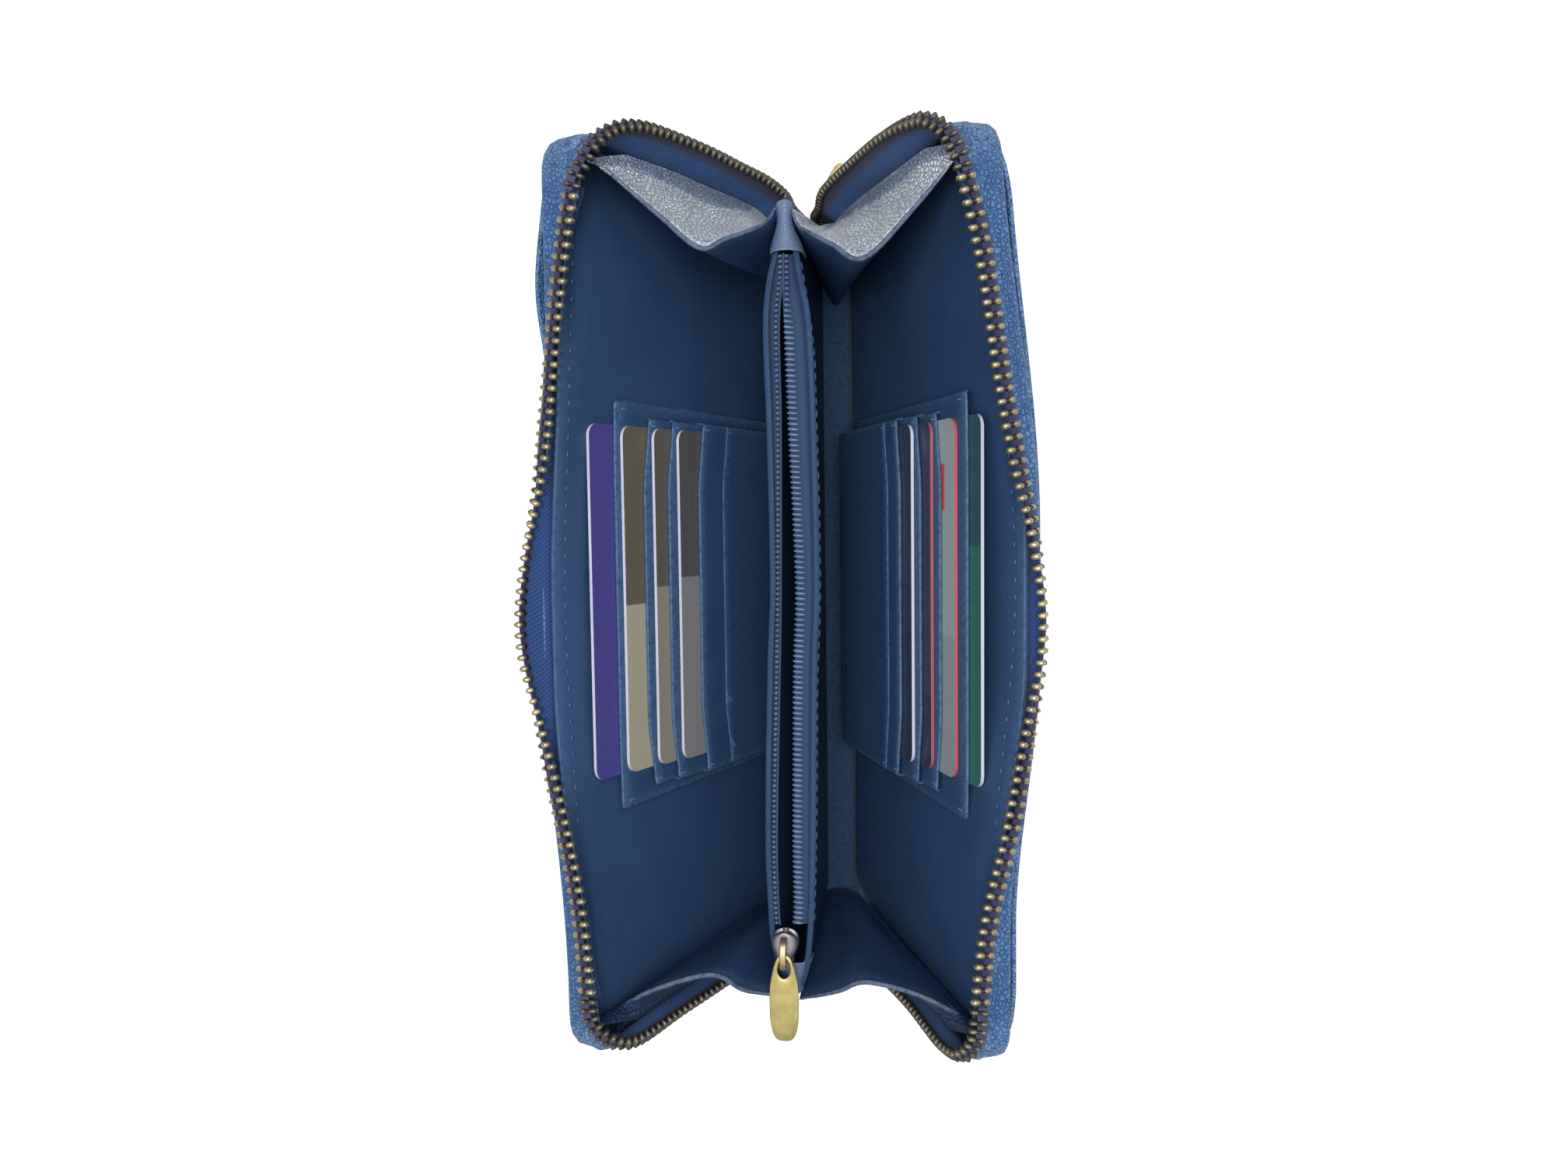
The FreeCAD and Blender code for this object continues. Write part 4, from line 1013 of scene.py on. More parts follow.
# The loose ends of the row, as points out from the middle, along and up, in millimetres.
END_ROWS = {
    (-1, 1): ((40.2, 97.6, 112.0), (38.6, 100.9, 111.0), (37.0, 102.9, 109.5), (35.2, 105.0, 107.0),
              (33.1, 106.3, 105.0), (30.4, 107.5, 101.0), (27.7, 108.2, 96.0), (23.3, 108.5, 88.0),
              (18.3, 108.3, 79.0), (13.3, 107.9, 69.0), (7.7, 107.3, 58.0), (4.2, 106.0, 48.0),
              (2.6, 104.2, 35.0)),
    (1, 1): ((38.2, 97.5, 112.0), (34.8, 101.6, 109.4), (31.0, 103.8, 105.0), (23.9, 105.2, 93.0),
             (14.7, 105.6, 73.0), (7.1, 105.0, 56.0), (4.6, 104.4, 44.0), (2.6, 103.8, 30.0)),
    (-1, -1): ((44.2, -94.5, 111.4), (42.3, -98.6, 111.2), (39.0, -102.2, 108.8), (35.0, -104.6, 102.4),
               (28.7, -105.5, 85.3), (21.0, -105.5, 68.0), (12.5, -105.2, 48.0), (6.0, -104.4, 29.0)),
    (1, -1): ((44.0, -94.5, 111.2), (42.6, -99.0, 109.6), (39.9, -102.5, 106.2), (36.0, -104.8, 97.5),
              (28.9, -105.5, 77.0), (21.5, -105.4, 61.0), (12.5, -105.2, 43.0), (6.0, -104.4, 27.0)),
}


def row_depth(side, along):
    """How far in from the outer face the tooth row stands."""
    return level_at(ROW_DEPTHS[side], along / MM) * MM


def row_on_cover(side, along):
    """A place on the tooth row along a cover."""
    return on_cover(side, row_depth(side, along), along, TOOTH_HEIGHT, stretched=False)


def whole_row(side):
    """The smooth tooth row from the spine's front, round the cover, to the spine's rear."""
    apart = side * 2.2 * MM
    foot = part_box("main_zip_slider")[1].z + 1.4 * MM
    front, rear = ([Vector((side * x, y, z)) * MM for x, y, z in END_ROWS[side, end]] for end in (-1, 1))
    front.append(Vector((apart, -HALF + 0.6 * MM, foot)))
    rear.append(Vector((apart, HALF - 0.2 * MM, foot)))
    steps = [(i / 9 * 2 - 1) * (LONG_STOP + 1 * MM) for i in range(10)]
    return smooth_row(front[::-1] + [row_on_cover(side, y) for y in steps] + rear, TOOTH_PITCH)


def split_row(side):
    """The whole row cut into its front end, the run that is sewn along the cover, and its rear end."""
    row = whole_row(side)
    on_side = [i for i, place in enumerate(row) if abs(place.y) < LONG_STOP]
    first, last = on_side[0], on_side[-1]
    return row[:first][::-1], row[first:last + 1], row[last + 1:]


def tooth_facing(side, along):
    """The direction of the teeth: standing up at mid-length, lying inwards towards the ends."""
    start = {-1: 14, 1: 34}[side]
    lean = math.radians(start + (90 - start) * eased(abs(along + 3 * MM) / (46 * MM)))
    return inwards(side) * math.sin(lean) + upwards(side) * math.cos(lean)


def band_width(side, along):
    """How far in the rolled leather edge reaches, from the cover's outer face."""
    row = row_depth(side, along) - curl_at(side, along, TALL)
    near = 2.6 * MM - 1.6 * MM * eased((abs(along) - 80 * MM) / (12 * MM))
    return min(max(row - near, 1.8 * MM), 10.0 * MM)


def tape_root(side, along):
    """Where the zip tape comes out from under the rolled leather edge."""
    curl = curl_at(side, along, TALL)
    inset_row = eased((row_depth(side, along) - curl) / (4 * MM))
    depth = curl + band_width(side, along) + (0.6 - 1.0 * inset_row) * MM
    return on_cover(side, depth, along, TALL - 1.2 * MM)


def tooth_model(breadth=1.0):
    """One zip tooth: a short bar with a round head, a narrow waist and clamped legs."""
    bpy.ops.object.select_all(action="DESELECT")
    bpy.ops.mesh.primitive_cylinder_add(vertices=8, radius=0.5, depth=TOOTH.x)
    piece = named("tooth_model")
    piece.data.transform(Matrix.Rotation(math.radians(90), 4, "Y"))
    piece.data.transform(Matrix.Rotation(math.radians(22.5), 4, "X"))
    piece.data.transform(Matrix.Diagonal((1, TOOTH.y * 1.05, TOOTH.z * 1.05, 1)))
    half = TOOTH.x / 2 / MM
    # The bar's breadths at places along it, in millimetres from its middle: legs, waist and head.
    rings = {-1.65: 0.95, -0.7: 1.05, -0.3: 0.78, 0.2: 0.78, 0.65: 1.08, 1.6: 1.0}
    for place in rings:
        select_where(piece, "FACE", lambda face: True)
        edit(piece, bpy.ops.mesh.bisect, plane_co=(place * MM, 0, 0), plane_no=(1, 0, 0))
    widths = {**rings, -half: 0.72, half: 0.6}
    for vertex in piece.data.vertices:
        place = min(widths, key=lambda p: abs(vertex.co.x - p * MM))
        vertex.co.y *= widths[place] * breadth
        vertex.co.z *= 0.5 + widths[place] / 2
    mesh = piece.data
    uv = mesh.uv_layers[0].data
    for loop in mesh.loops:
        uv[loop.index].uv = (mesh.vertices[loop.vertex_index].co.x / TOOTH.x + 0.5, 0.5)
    shade(piece, 75)
    return piece


def make_long_zip(name, side, row):
    """The run of the zip along a cover: tape that comes up out of the rolled edge, and its row of teeth."""
    low, high = row[0].y - TOOTH_PITCH / 2, row[-1].y + TOOTH_PITCH / 2
    sewn, tuck = 0.2, 2.6 * MM
    ripple, ripple_length = 0.15 * MM, 3.3 * MM

    def place(a, b):
        """From its sewn edge, hidden in the rim, out to the teeth."""
        along = low + a * (high - low)
        root, stop = tape_root(side, along), row_on_cover(side, along)
        if b < sewn:
            return root - upwards(side) * (tuck * (1 - b / sewn))
        share = (b - sewn) / (1 - sewn)
        rise = upwards(side) * 1.8 * MM
        point = curve_between(root, rise, tooth_facing(side, along) * 3.2 * MM, stop, share)
        return point + inwards(side) * (ripple * math.sin(along / ripple_length) * share * (1 - share) * 4)

    tape = add_sheet(f"{name}_long_zip_tape", 150, 14, place, (high - low, LONG_TAPE_MAP))
    build_up(tape, -inwards(side), 0.6 * MM, TAPE)
    settle(tape, f"{name}_cover", "zip_tape", f"{name}_zip_tape")

    model = tooth_model()
    places = []
    for i, centre in enumerate(row):
        before, after = row[max(i - 1, 0)], row[min(i + 1, len(row) - 1)]
        places.append(frame_at(centre, tooth_facing(side, centre.y), after - before))
    teeth = copies(f"{name}_long_zip_teeth_brass", model, places)
    discard(model)
    wear(teeth, BRASS)
    settle(teeth, f"{name}_cover", "zip_brass", f"{name}_zip_teeth")


def end_seam(side, end):
    """The cover's edge from the last sewn tooth, round the rim corner and down to the hinge."""
    depth = BAND_DEPTH + 0.2 * MM
    inset = 1.2 * MM
    radius = RIM_RADIUS - inset
    places = [(LONG_STOP, TALL - 0.8 * MM, band_width(side, end * LONG_STOP) - 0.4 * MM)]
    for turn in (math.radians(angle) for angle in (25, 50, 75)):
        places.append((HALF - RIM_RADIUS + radius * math.sin(turn),
                       TALL - RIM_RADIUS + radius * math.cos(turn), depth + 1.5 * MM))
    places += [(HALF - inset, share * TALL, depth) for share in (0.8, 0.6, 0.4, 0.2, 0.06)]
    points = [on_cover(side, curl_at(side, end * y, z) + d, end * y, z) for y, z, d in places]
    return smooth_row(points, 2 * MM)


def end_facing(side, end, share, row, tip, turn):
    """A loose end's direction at its teeth: flat inwards at the rim corner, then standing up and tipped.

    The turn is the share of the row by which it stands; near the slider it turns in to the other side."""
    place = int(min(max(share, 0.02), 0.98) * (len(row) - 1))
    place = min(max(place, 1), len(row) - 2)
    along = (row[place + 1] - row[place - 1]).normalized()
    flat = Vector((0, 0, 1)).cross(along)
    if flat.x * side > 0:
        flat = -flat
    upright = Vector((0, tip * end, 0.96))
    facing = flat.lerp(upright, eased(share / turn))
    if share > 0.75:
        facing = facing.lerp(Vector((-side, 0, 0.1)), eased((share - 0.75) / 0.2))
    return (facing - along * facing.dot(along)).normalized()


def end_surface(side, end, row):
    """The surface that a loose end's tape and leather lie on, as a function of two shares.

    It runs along the cover's end edge, and across from that edge, 0, to the tooth row, 1."""
    seam = end_seam(side, end)
    row = [row_on_cover(side, end * LONG_STOP)] + row

    def between(share_along, share_across):
        """A bend that leaves the leather flat, and drops from the teeth by no more than the tape's width."""
        start, stop = at_share(seam, share_along), at_share(row, share_along)
        room = (stop - start).length
        facing = end_facing(side, end, share_along, row, tip=0.28, turn=0.14)
        leave = inwards(side) * room * 0.35
        fall = min(0.62 * room, 15 * MM) * (0.4 + 0.6 * eased(share_along / 0.22))
        return curve_between(start, leave, facing * fall, stop, share_across)

    return between


def make_end_tape(name, side, end_name, end, row, between):
    """A loose end's tape, and the leather ear that joins it to the cover."""
    out = Vector((0, end, 0))
    tape = add_sheet(f"{name}_{end_name}_end_tape", 90, 12, lambda a, b: between(a, 0.4 + 0.59 * b),
                     (END_LENGTH, END_TAPE_MAP))
    build_up(tape, out, 0.5 * MM, END_TAPE, even=False)
    nodes = (f"{name}_end_tapes",) if end > 0 else ()
    settle_bent(tape, side, "zip_tape", *nodes)

    def ear_place(a, b):
        """A little above the tape, towards its outer side."""
        a = 0.05 + 0.95 * a
        reach = b * (0.86 - 0.34 * eased(a / 0.12))
        point, near = between(a, reach), between(a, reach + 0.03)
        other = between(min(a + 0.01, 1.0), reach) - between(max(a - 0.01, 0.0), reach)
        normal = (near - point).cross(other).normalized()
        if normal.dot(out + Vector((0, 0, 0.4))) < 0:
            normal = -normal
        return point + normal * 0.7 * MM

    ear = add_sheet(f"{name}_{end_name}_end_ear", 60, 12, ear_place, (120 * MM, 20 * MM))
    build_up(ear, out, 0.9 * MM, OUTER, rounding=0.25 * MM, even=False)
    settle_bent(ear, side, "gusset_leather")


def make_end_chain(name, side, end_name, end, row, last_sewn):
    """A loose end's teeth, on the tape's corded edge, following on from the last tooth that is sewn down."""
    chain = smooth_row([last_sewn] + row, END_PITCH)

    def facing_at(share):
        """The way the teeth point at a share of the chain."""
        return end_facing(side, end, share, chain, tip=-0.34, turn=0.38)

    def bead_place(a, b):
        """Under the teeth's legs."""
        return at_share(chain, 0.01 + 0.97 * a) - facing_at(a) * (1.9 * MM * (1 - b) - 0.3 * MM)

    bead = add_sheet(f"{name}_{end_name}_end_bead", 90, 2, bead_place, (END_LENGTH, 2 * MM))
    build_up(bead, Vector((0, end, 0)), 0.6 * MM, TAPE_BEAD, even=False)
    settle_bent(bead, side, "zip_tape")

    model = tooth_model(0.8)
    places = []
    for index in range(1, len(chain) - 1):
        facing = facing_at(index / (len(chain) - 1))
        places.append(frame_at(chain[index], facing, chain[index + 1] - chain[index - 1]))
    teeth = copies(f"{name}_{end_name}_end_teeth_brass", model, places)
    discard(model)
    # Painted shade: the shaded copy of the brass.
    wear(teeth, SHADED_BRASS)
    nodes = (f"{name}_end_teeth",) if end > 0 else ()
    settle_bent(teeth, side, "zip_brass", *nodes)


# ---------------------------------------------------------------- gussets

# Each gusset's top edge from the rim corner, over the fold, which is its third point, to the coin pocket:
# points out from the middle, along and up, in millimetres.
GUSSET_TOPS = {
    (-1, 1): ((39.6, 98.8, 104.0), (27.7, 88.6, 100.0), (18.2, 80.7, 98.5), (12.5, 83.0, 96.0),
              (6.0, 86.2, 92.0), (3.4, 89.2, 88.0), (1.8, 92.6, 86.6)),
    (1, 1): ((40.5, 97.0, 103.5), (31.7, 87.7, 100.5), (19.7, 76.8, 98.5), (12.0, 81.0, 95.0),
             (6.5, 84.8, 91.5), (3.4, 87.6, 88.0), (1.8, 92.0, 86.6)),
    (-1, -1): ((42.5, -100.0, 98.0), (33.0, -95.0, 96.5), (19.2, -91.7, 94.0), (12.0, -96.4, 91.0),
               (6.6, -98.6, 88.0), (2.8, -100.5, 85.0), (1.2, -101.6, 84.0)),
    (1, -1): ((43.0, -98.5, 98.0), (31.3, -93.7, 96.0), (18.6, -91.9, 94.0), (12.0, -95.6, 91.0),
              (6.6, -98.4, 88.0), (2.8, -100.5, 85.0), (1.2, -101.6, 84.0)),
}


def gusset_leaf(side, end, tops, between):
    """The surface of a gusset's outer leaf: along its top, and down from 0 there to 1 at its seam."""
    out = Vector((0, end, 0))

    def leaf(a, share):
        """Straight down from the top to the seam, with a sag and a ripple between them."""
        top = at_share(tops, a)
        seam = between(0.04 + 0.9 * a, 0.52 + 0.2 * a + 0.12 * a * a)
        # By the rim the tape still turns over, so the seam crosses that stretch in a straight line.
        if a < 0.22:
            seam = between(0.085, 0.72).lerp(between(0.238, 0.57), a / 0.22)
        seam = seam - out * 0.9 * MM
        sag = math.sin(math.pi * share)
        ripple = math.sin(a * 19 + end) * math.sin(share * 5 + side) + 0.5 * math.sin(a * 43 + 2)
        return top.lerp(seam, share) + Vector((0, 0, -2.0 * MM * sag)) + out * 0.35 * MM * ripple * sag

    return leaf


def make_gusset(name, side, end_name, end, between):
    """A folded leather side: its outer leaf slopes to the end tape, its inner leaf drops into the wallet."""
    step = 0.8 * MM
    tops = smooth_row([Vector((side * x, y, z)) * MM for x, y, z in GUSSET_TOPS[side, end]], step)
    leaf = gusset_leaf(side, end, tops, between)
    out = Vector((0, end, 0))
    fold = GUSSET_TOPS[side, end][2]
    # The inner leaf's foot: from the cover's foot, under the fold, to the coin pocket's foot.
    last = end * min(abs(tops[-1].y) + 2 * MM, HALF - 1.6 * MM)
    feet = smooth_row([on_cover(side, 5.4 * MM, end * (HALF - 4 * MM), 7 * MM),
                       Vector((side * 6.5 * MM, fold[1] * MM + end * 8 * MM, 7 * MM)),
                       Vector((side * 1.0 * MM, last, 3.2 * MM))], step)

    def place(a, b):
        """Up the outer leaf to the fold, and down the inner one."""
        if b <= 0.5:
            return leaf(a, 1 - b / 0.5)
        share = (b - 0.5) / 0.5
        ripple = math.sin(a * 11 + side) * math.sin(share * 4 + end)
        flat = at_share(tops, a).lerp(at_share(feet, a), share)
        return flat + out * (0.6 * MM * ripple * math.sin(math.pi * share))

    height = 120 * MM
    piece = add_sheet(f"{name}_{end_name}_gusset_leather", 60, 48, place, (70 * MM, height))
    aim(piece, out)
    # The rear leaf takes the lit copy, with its painted sheen, and the front leaf the shaded copy, with its
    # painted shade.
    wear(piece, GUSSET if end > 0 else GUSSET_SHADE, INNER_GUSSET)
    uv = piece.data.uv_layers[0].data
    for face in piece.data.polygons:
        middle = sum(uv[i].uv.y for i in face.loop_indices) / len(face.loop_indices)
        face.material_index = int(middle > height / 2)
    thicken(piece, 0.8 * MM, even=False)
    shade(piece, 60)
    settle_bent(piece, side, "gusset_leather", f"{name}_{end_name}_gusset")
    make_gusset_trim(name, side, end_name, end, tops, leaf)


def make_gusset_trim(name, side, end_name, end, tops, leaf):
    """The puckered seam strip at a gusset's foot, the roll round its folded edge, and its stitches."""
    def strip_place(a, b):
        """Over the leaf's foot, puckered most along its upper edge."""
        pucker = math.sin(a * 230 + b * 4) + 0.5 * math.sin(a * 97 + 2)
        lift = Vector((0, -end * 0.2, 0.9)) * (0.8 * MM + 0.22 * MM * pucker * (1 - 0.7 * b))
        return leaf(0.01 + 0.97 * a, 0.74 + 0.26 * b) + lift

    strip = add_sheet(f"{name}_{end_name}_gusset_seam_strip", 150, 5, strip_place, (110 * MM, 4 * MM))
    # The rear strip takes the lit copy and the front strip the painted shade.
    build_up(strip, Vector((0, 0, 1)), 0.6 * MM, GUSSET_SEAM if end > 0 else GUSSET_SHADE, rounding=0.2 * MM,
             even=False)
    settle_bent(strip, side, "gusset_leather")

    def fold_place(a, b):
        """A flattened roll along the top edge, thinner towards both its ends."""
        a = 0.01 + 0.98 * a
        along = (at_share(tops, min(a + 0.02, 1)) - at_share(tops, max(a - 0.02, 0))).normalized()
        across = along.cross(Vector((0, 0, 1))).normalized()
        turn = 2 * math.pi * b
        thin = 0.35 + 0.65 * math.sqrt(math.sin(math.pi * min(max(a, 0.02), 0.98)))
        flat = at_share(tops, a) + across * (0.6 * MM * thin * math.cos(turn))
        return flat + Vector((0, 0, 0.45 * MM * thin)) * math.sin(turn)

    roll = add_sheet(f"{name}_{end_name}_gusset_folded_edge", 90, 10, fold_place, (60 * MM, 5 * MM))
    select_where(roll, "VERT", lambda vertex: True)
    edit(roll, bpy.ops.mesh.remove_doubles, threshold=0.01 * MM)
    close_ends(roll)
    wear(roll, GUSSET_FOLD)
    shade(roll, 60)
    settle_bent(roll, side, "gusset_leather")
    seam = [leaf(a, 0.09) + Vector((0, 0, 0.45 * MM)) for a in (0.12, 0.25, 0.4, 0.5, 0.6, 0.75, 0.9)]
    # The front stitches take the darker thread as painted shade.
    sew(f"{name}_{end_name}_gusset_stitches", seam, Vector((0, 0, 1)), BACK, "gusset_leather",
        pitch=2.8 * MM, material=THREAD if end > 0 else DARK_THREAD, bent=side)


# ---------------------------------------------------------------- spine

def make_spine():
    """The pebbled leather back, rolled up at both edges to the hinges, with its sewn lining."""
    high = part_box("spine_leather")[1]
    half, middle, bend, lip = high.x, 0.7 * MM, 1.3 * MM, 2.0 * MM

    def place(a, b):
        """Flat underneath, bent up at each edge, and straight up from there for the width of a lip."""
        along = (2 * a - 1) * (HALF - 0.4 * MM)
        run = (2 * b - 1) * (half + lip)
        flat = half - lip
        if abs(run) <= flat:
            return Vector((run, along, middle + 0.05 * MM))
        turn = min((abs(run) - flat) / lip, 1.0) * math.pi / 2
        level = middle + bend * (1 - math.cos(turn))
        level += max(abs(run) - flat - lip, 0) * (high.z - middle - bend) / lip
        return Vector((math.copysign(flat + bend * math.sin(turn), run), along, level))

    piece = add_sheet("spine_back_leather", 70, 24, place, (2 * HALF, 2 * half))
    aim(piece, Vector((0, 0, -1)))
    thicken(piece, 1.3 * MM)
    soften(piece, 0.3 * MM)
    wear(piece, OUTER, LINING)
    for face in piece.data.polygons:
        inner = Vector((-math.copysign(1, face.center.x) * (abs(face.center.x) > 4 * MM), 0, 0.6))
        if face.normal.dot(inner) > 0.3:
            face.material_index = 1
    shade(piece, 60)
    settle(piece, BACK, "shell_leather", "spine_leather")
    wear(frame["nodes"]["spine_board"], BOARD)
    wear(frame["nodes"]["spine_lining"], SPINE_LINING)


# ---------------------------------------------------------------- coin pocket

POCKET = {-1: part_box("coin_pocket_left_wall"), 1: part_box("coin_pocket_right_wall")}
POCKET_LOW, POCKET_TOP = POCKET[1][0].z, POCKET[1][1].z
POCKET_FRONT, POCKET_REAR = POCKET[1][0].y, POCKET[1][1].y
CAP_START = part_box("coin_pocket_rear_cap")[0].y
OPEN_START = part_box("coin_zip_slider")[1].y
# Points of each wall's top from front to rear, in millimetres: the place along, and how far out.
POCKET_HALVES = {
    -1: ((-101, 0.1), (-96, 3.2), (-88, 5.6), (-80, 6.2), (-62, 6.7), (-18, 5.6), (2, 4.7), (43, 5.1),
         (67, 5.6), (77, 4.4), (83, 2.9), (88, 1.9), (93, 1.5), (96, 0.1)),
    1: ((-101, 0.1), (-96, 2.8), (-88, 4.0), (-80, 4.6), (-62, 5.2), (-18, 6.0), (2, 6.8), (43, 6.3),
        (67, 5.3), (77, 3.5), (83, 2.6), (88, 1.9), (93, 1.5), (96, 0.1)),
}
# Points of each coil's run over the open mouth: the place along, and across, in millimetres.
COIL_ROWS = {
    -1: ((-86, -4.0), (-80, -4.6), (-62, -4.9), (-18, -3.6), (2, -3.1), (43, -2.6), (67, -2.7), (78, -1.5)),
    1: ((-86, 0.2), (-80, 1.1), (-62, 1.1), (-18, 1.8), (2, 2.5), (43, 1.1), (67, 0.4), (78, 0.0)),
}


def pocket_half(side, along):
    """How far out from the middle a wall's top stands."""
    return level_at(POCKET_HALVES[side], along / MM) * MM


def make_pocket_wall(name, side):
    """One wall of the coin pocket, with a folded hem along its top."""
    out = Vector((side, 0, 0))
    hem_start = 0.94

    def place(a, b):
        """Up the wall, which flares towards its top, and then in over the hem."""
        along = POCKET_FRONT + a * (POCKET_REAR - POCKET_FRONT)
        rise = min(b / hem_start, 1.0)
        hem = max((b - hem_start) / (1 - hem_start), 0.0)
        top = pocket_half(side, along)
        foot = min(top, 1.2 * MM)
        belly = 0.3 * MM * math.sin(math.pi * rise) * math.sin(along / (21 * MM))
        across = foot + (top - foot) * rise ** 2.6 + belly - 0.9 * MM * hem
        height = POCKET_LOW + rise * (POCKET_TOP + 0.6 * MM - POCKET_LOW)
        height += 0.25 * MM * math.sin(hem * math.pi)
        return Vector((side * across, along, height))

    piece = add_sheet(f"coin_pocket_{name}_leather", 80, 34, place, (200 * MM, 85 * MM))
    build_up(piece, out, 0.7 * MM, POCKET_LEATHER, rounding=0.2 * MM)
    settle(piece, BACK, "inner_leather", f"coin_pocket_{name}_wall")
    seam = []
    for step in range(9):
        along = OPEN_START + (CAP_START - OPEN_START) * step / 8
        across = pocket_half(side, along) + 0.34 * MM
        seam.append(Vector((side * across, along, POCKET_TOP - 1.6 * MM)))
    sew(f"coin_pocket_{name}_stitches", seam, out, BACK, pitch=3.0 * MM, material=DARK_THREAD)


def coil_model():
    """One turn of the nylon coil: a flattened ring of monofilament with a pressed head."""
    bpy.ops.object.select_all(action="DESELECT")
    bpy.ops.mesh.primitive_torus_add(major_segments=12, minor_segments=6, major_radius=1.0,
                                     minor_radius=0.3, rotation=(math.radians(90), 0, 0))
    bpy.ops.object.transform_apply(location=True, rotation=True, scale=True)
    piece = named("coil_model")
    piece.data.transform(Matrix.Diagonal((1.12 * MM, 1.15 * MM, 0.5 * MM, 1)))
    shade(piece, 80)
    return piece


def make_coin_zip(name, side):
    """The open coin zip's tape and coil: upright on the left, folded over on the right until the rear."""
    start, stop = OPEN_START + 0.4 * MM, CAP_START - 0.2 * MM
    pitch = 1.29 * MM

    def lean(along):
        """The direction that the tape arrives in at its coil."""
        upright = Vector((0.15, 0, 1))
        flat = Vector((-1, 0, 0.05))
        turned = 1.0 if side < 0 else eased((along - 58 * MM) / (22 * MM))
        return flat.lerp(upright, turned).normalized()

    def coil_centre(along):
        """Over the pocket's open mouth."""
        return Vector((level_at(COIL_ROWS[side], along / MM) * MM, along, POCKET_TOP + 1.0 * MM))

    def tape_place(a, b):
        """From the wall's hem to just past the coil, on its lower side."""
        along = start + a * (stop - start)
        facing = lean(along)
        below = Vector((-facing.z, 0, facing.x)) * (side * 0.75 * MM)
        root = Vector((side * (pocket_half(side, along) - 0.9 * MM), along, POCKET_TOP - 1.0 * MM))
        edge = coil_centre(along) + below + facing * 0.9 * MM
        return curve_between(root, Vector((0, 0, 1.2 * MM)), facing * 2.4 * MM, edge, b)

    tape = add_sheet(f"coin_zip_{name}_twill", 110, 10, tape_place, (stop - start, 6.0 * MM))
    build_up(tape, Vector((side, 0, 0.5)), 0.4 * MM, COIN_TAPE)
    settle(tape, BACK, "zip_tape", f"coin_zip_{name}_tape")

    model = coil_model()
    places = []
    for index in range(int((stop - start) / pitch)):
        along = start + (index + 0.5) * pitch
        places.append(frame_at(coil_centre(along), lean(along), Vector((0.1 * side, 1, 0))))
    coil = copies(f"coin_zip_{name}_nylon_coil", model, places)
    discard(model)
    wear(coil, NYLON)
    settle(coil, BACK, "coin_coil", f"coin_zip_{name}_coil")


def make_pocket_cap(end_name, end):
    """The leather cap over an end of the pocket: narrow and round at its tip, wider where the zip enters."""
    low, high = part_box(f"coin_pocket_{end_name}_cap")
    crown = high.z + (1.8 * MM if end > 0 else -0.4 * MM)

    def place(a, b):
        """Up one side, over the round top and down the other."""
        tip = a if end > 0 else 1 - a
        along = low.y + a * (high.y - low.y) - 1.2 * MM * tip * end
        closing = math.sqrt(max(1 - max((tip - 0.84) / 0.16, 0.0) ** 2, 0.04))
        half = 4.2 * MM - 2.3 * MM * eased(tip / 0.62) + 0.35 * MM * eased((tip - 0.66) / 0.16)
        turn = math.pi * min(max((b - 0.2) / 0.6, 0.0), 1.0)
        top = crown - 1.8 * MM * eased(1 - tip) - half * (1 - math.sin(turn) * closing)
        rise = min(b / 0.2, (1 - b) / 0.2, 1.0)
        return Vector((-math.cos(turn) * half * closing, along, low.z + (top - low.z) * rise))

    piece = add_sheet(f"coin_pocket_{end_name}_cap_leather", 24, 26, place, (14 * MM, 26 * MM))
    build_up(piece, Vector((0, 0, 1)), 0.55 * MM, CAP_LEATHER, rounding=0.18 * MM, offset=-1.0)
    settle(piece, BACK, "inner_leather", f"coin_pocket_{end_name}_cap")


# ---------------------------------------------------------------- sliders and pulls

def slider_plate(name, width, length, height, up):
    """One plate of a slider, along Y: a narrow tail, broad shoulders and turned flanges."""
    def place(a, b):
        across = 2 * a - 1
        half = width / 2 * (0.6 + 0.4 * eased((b - 0.22) / 0.4))
        if b > 0.74:
            half *= math.sqrt(max(1 - ((b - 0.74) / 0.27) ** 2, 0.04))
        if b < 0.1:
            half *= 0.85 + 0.15 * eased(b / 0.1)
        crown = 0.25 * MM * (1 - across ** 2) - 0.75 * MM * abs(across) ** 5
        return Vector((across * half, (b - 0.5) * length, up * (height / 2 + crown)))

    piece = add_sheet(name, 16, 22, place, (width, length))
    aim(piece, Vector((0, 0, up)))
    thicken(piece, 0.8 * MM, offset=-1.0)
    soften(piece, 0.18 * MM)
    return piece


